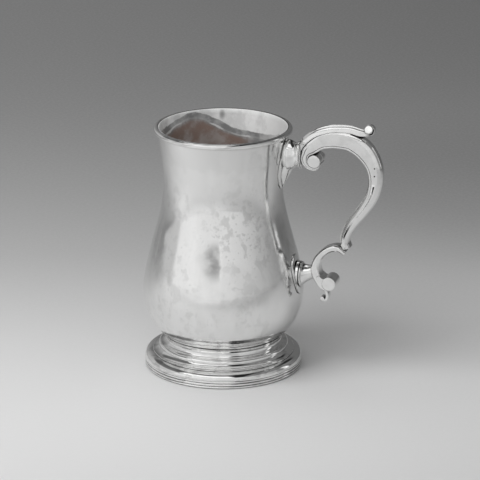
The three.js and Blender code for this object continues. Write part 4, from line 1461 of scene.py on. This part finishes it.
def make_floor(s, towards, right):
    """A pale floor whose colour carries painted light: a little darker in front of the piece, greying
    with distance behind it, dimmed to the right and under a soft painted shadow behind and right of the
    piece.
    """
    corners = [towards * front + right * side
               for front, side in ((FLOOR_FRONT, -FLOOR_LEFT), (FLOOR_FRONT, FLOOR_FAR),
                                   (-FLOOR_FAR, FLOOR_FAR), (-FLOOR_FAR, -FLOOR_LEFT))]
    mesh = bpy.data.meshes.new("floor")
    mesh.from_pydata(corners, [], [(0, 1, 2, 3)])
    floor = bpy.data.objects.new("floor", mesh)
    bpy.context.scene.collection.objects.link(floor)
    n = Nodes("floor")
    share = n.add("ShaderNodeMapRange")
    share.inputs["From Min"].default_value, share.inputs["From Max"].default_value = FLOOR_RUN
    n.join(n.along(-towards), share.inputs["Value"])
    # Painted falloff of light: the floor greys with distance behind the piece
    stops = [(place, getattr(s, name)) for place, name in FLOOR_STOPS]
    paint = n.ramp(share.outputs["Result"], stops, "B_SPLINE")
    # Painted shade: the floor dims to the right and under a soft pool behind and right of the piece
    fade = n.remap(n.along(right), *SIDE_RUN, *SIDE_FADE)
    shade = n.near(right * SHADE_RIGHT - towards * SHADE_BACK, (SHADE_REACH,) * 3)
    fade = n.maths("MULTIPLY", fade, n.maths("MULTIPLY_ADD", shade, -SHADE_DEPTH, 1.0))
    dimmed = n.add("ShaderNodeVectorMath", operation="SCALE")
    n.join(paint, dimmed.inputs[0])
    n.join(fade, dimmed.inputs["Scale"])
    grain = n.cloud(0.002, 2)
    roughness = n.remap(grain, 0.3, 0.7, 0.6, 0.8)
    mesh.materials.append(n.shade(dimmed.outputs["Vector"], roughness, n.bump(grain, 0.00002), 0.0))


# The lamp on the left: its direction towards the camera and to the left, its distance and its height
KEY_DIRECTION, KEY_DISTANCE, KEY_RISE = (0.545, 0.839), 1.29, 1.65
# The lamp overhead: how far in front and how high over the piece it hangs
TOP_FORWARD, TOP_RISE = 0.3, 2.6
# The height on the piece at which both lamps aim
LAMP_AIM = 0.06


def make_lamp(name, place, aim, size, power):
    """A lamp that faces a point and lights the floor; metal sees the world's panels in its place."""
    data = bpy.data.lights.new(name, "AREA")
    data.shape = "RECTANGLE"
    data.size, data.size_y = size
    data.energy = power
    lamp = bpy.data.objects.new(name, data)
    lamp.location = place
    lamp.rotation_euler = (Vector(aim) - Vector(place)).to_track_quat("-Z", "Y").to_euler()
    lamp.visible_glossy = False
    bpy.context.scene.collection.objects.link(lamp)


def make_lamps(s, towards, right):
    """Two large lamps: one at the front left and one overhead."""
    middle = Vector((AXIS, 0, LAMP_AIM))
    left = (towards * KEY_DIRECTION[0] - right * KEY_DIRECTION[1]) * KEY_DISTANCE
    left += Vector((0, 0, KEY_RISE))
    make_lamp("key_lamp", middle + left, middle, (s.key_width, s.key_height), s.key_power)
    above = Vector((0, 0, TOP_RISE)) + towards * TOP_FORWARD
    make_lamp("top_lamp", middle + above, middle, (s.top_size, s.top_size), s.top_power)


# Strength of the surround by degrees from the camera's side, positive to the right
SURROUND = (
    (-180, 0.16), (-145, 0.46), (-120, 0.54), (-83, 0.58), (-78, 0.86), (-50, 0.91), (10, 0.75),
    (45, 0.59), (75, 0.4), (96, 0.27), (99, 1.1), (106, 1.1), (110, 0.05), (115, 0.2), (135, 0.14),
    (180, 0.14),
)
# The sine of the height at which the panels end
PANEL_TOP = (0.46, 0.54)

# Strength of the ceiling by how far to the right it lies, from -1 to 1
CEILING = ((-1, 0.2), (-0.4, 0.12), (0.14, 0.14), (0.18, 0.02), (0.42, 0.02), (0.5, 0.22), (1, 0.2))

# The soft box overhead, in degrees from the zenith to the front and to the right
TOP_BOX = ((-38, -9), (-25, 7))

# The soft box in front, in degrees round to the right and up from the table
FRONT_BOX = ((-78, 14), (32, 60))
# How far the front box's sides turn for each degree of height, and the height at which they don't
BOX_SLANT, BOX_UPRIGHT = 0.35, 45
# Half the width of the boxes' soft edges in degrees, and the strength of their light
BOX_EDGE = 0.7
BOX_LEVEL = 1.17


def make_world(towards, right):
    """Pale panels all round under a dim ceiling, with soft boxes overhead and in front."""
    n = Nodes("studio", bpy.data.worlds)
    bpy.context.scene.world = n.owner
    direction = n.add("ShaderNodeTexCoord").outputs["Generated"]
    up = n.split(direction)["Z"]
    shares = [n.along(axis, direction) for axis in (right, towards)]
    around = n.maths("ARCTAN2", *shares)
    turn = n.maths("MULTIPLY_ADD", around, 0.5 / math.pi, 0.5)
    panels = n.ramp(turn, [((degrees + 180) / 360, (level,) * 3) for degrees, level in SURROUND])
    across = n.maths("MULTIPLY_ADD", shares[0], 0.5, 0.5)
    ceiling = n.ramp(across, [((place + 1) / 2, (level,) * 3) for place, level in CEILING])
    colour = n.blend(n.remap(up, *PANEL_TOP, 1, 0), ceiling, panels)
    lean, pitch = (n.maths("ARCTAN2", share, up) for share in shares)
    rise = n.maths("ARCSINE", up)
    above = n.maths("SUBTRACT", rise, math.radians(BOX_UPRIGHT))
    around = n.maths("MULTIPLY_ADD", above, BOX_SLANT, around)
    for angles, box in (((pitch, lean), TOP_BOX), ((around, rise), FRONT_BOX)):
        lit = n.maths("MULTIPLY", *(n.between(angle, *limits) for angle, limits in zip(angles, box)))
        colour = n.blend(lit, colour, (BOX_LEVEL,) * 3)
    background = n.add("ShaderNodeBackground")
    n.join(colour, background.inputs["Color"])
    output = n.add("ShaderNodeOutputWorld")
    n.join(background.outputs["Background"], output.inputs["Surface"])


class TANKARD_PT_pieces(Panel):
    """Lists the pieces that can be built and the sizes and colours they are built from"""

    bl_idname = "TANKARD_PT_pieces"
    bl_label = "Silver tankard"
    bl_space_type = "VIEW_3D"
    bl_region_type = "UI"
    bl_category = "Tankard"

    def draw(self, context):
        for operator in OPERATORS:
            self.layout.operator(operator.bl_idname)
        for group in GROUPS:
            box = self.layout.box()
            settings = getattr(context.scene, group)
            for key in settings.bl_rna.properties.keys():
                if key not in {"rna_type", "name"}:
                    box.prop(settings, key)


OPERATORS = (
    TANKARD_OT_body,
    TANKARD_OT_lip,
    TANKARD_OT_foot,
    TANKARD_OT_upper_seat,
    TANKARD_OT_handle,
    TANKARD_OT_leaf,
    TANKARD_OT_lower_seat,
    TANKARD_OT_stage,
)
CLASSES = (*GROUPS.values(), *OPERATORS, TANKARD_PT_pieces)


def register():
    for item in CLASSES:
        bpy.utils.register_class(item)
    for name, group in GROUPS.items():
        setattr(bpy.types.Scene, name, PointerProperty(type=group))


def unregister():
    for name in GROUPS:
        delattr(bpy.types.Scene, name)
    for item in reversed(CLASSES):
        bpy.utils.unregister_class(item)


def main():
    register()
    for operator in OPERATORS:
        group, name = operator.bl_idname.split(".")
        getattr(getattr(bpy.ops, group), name)()


if __name__ == "__main__":
    main()
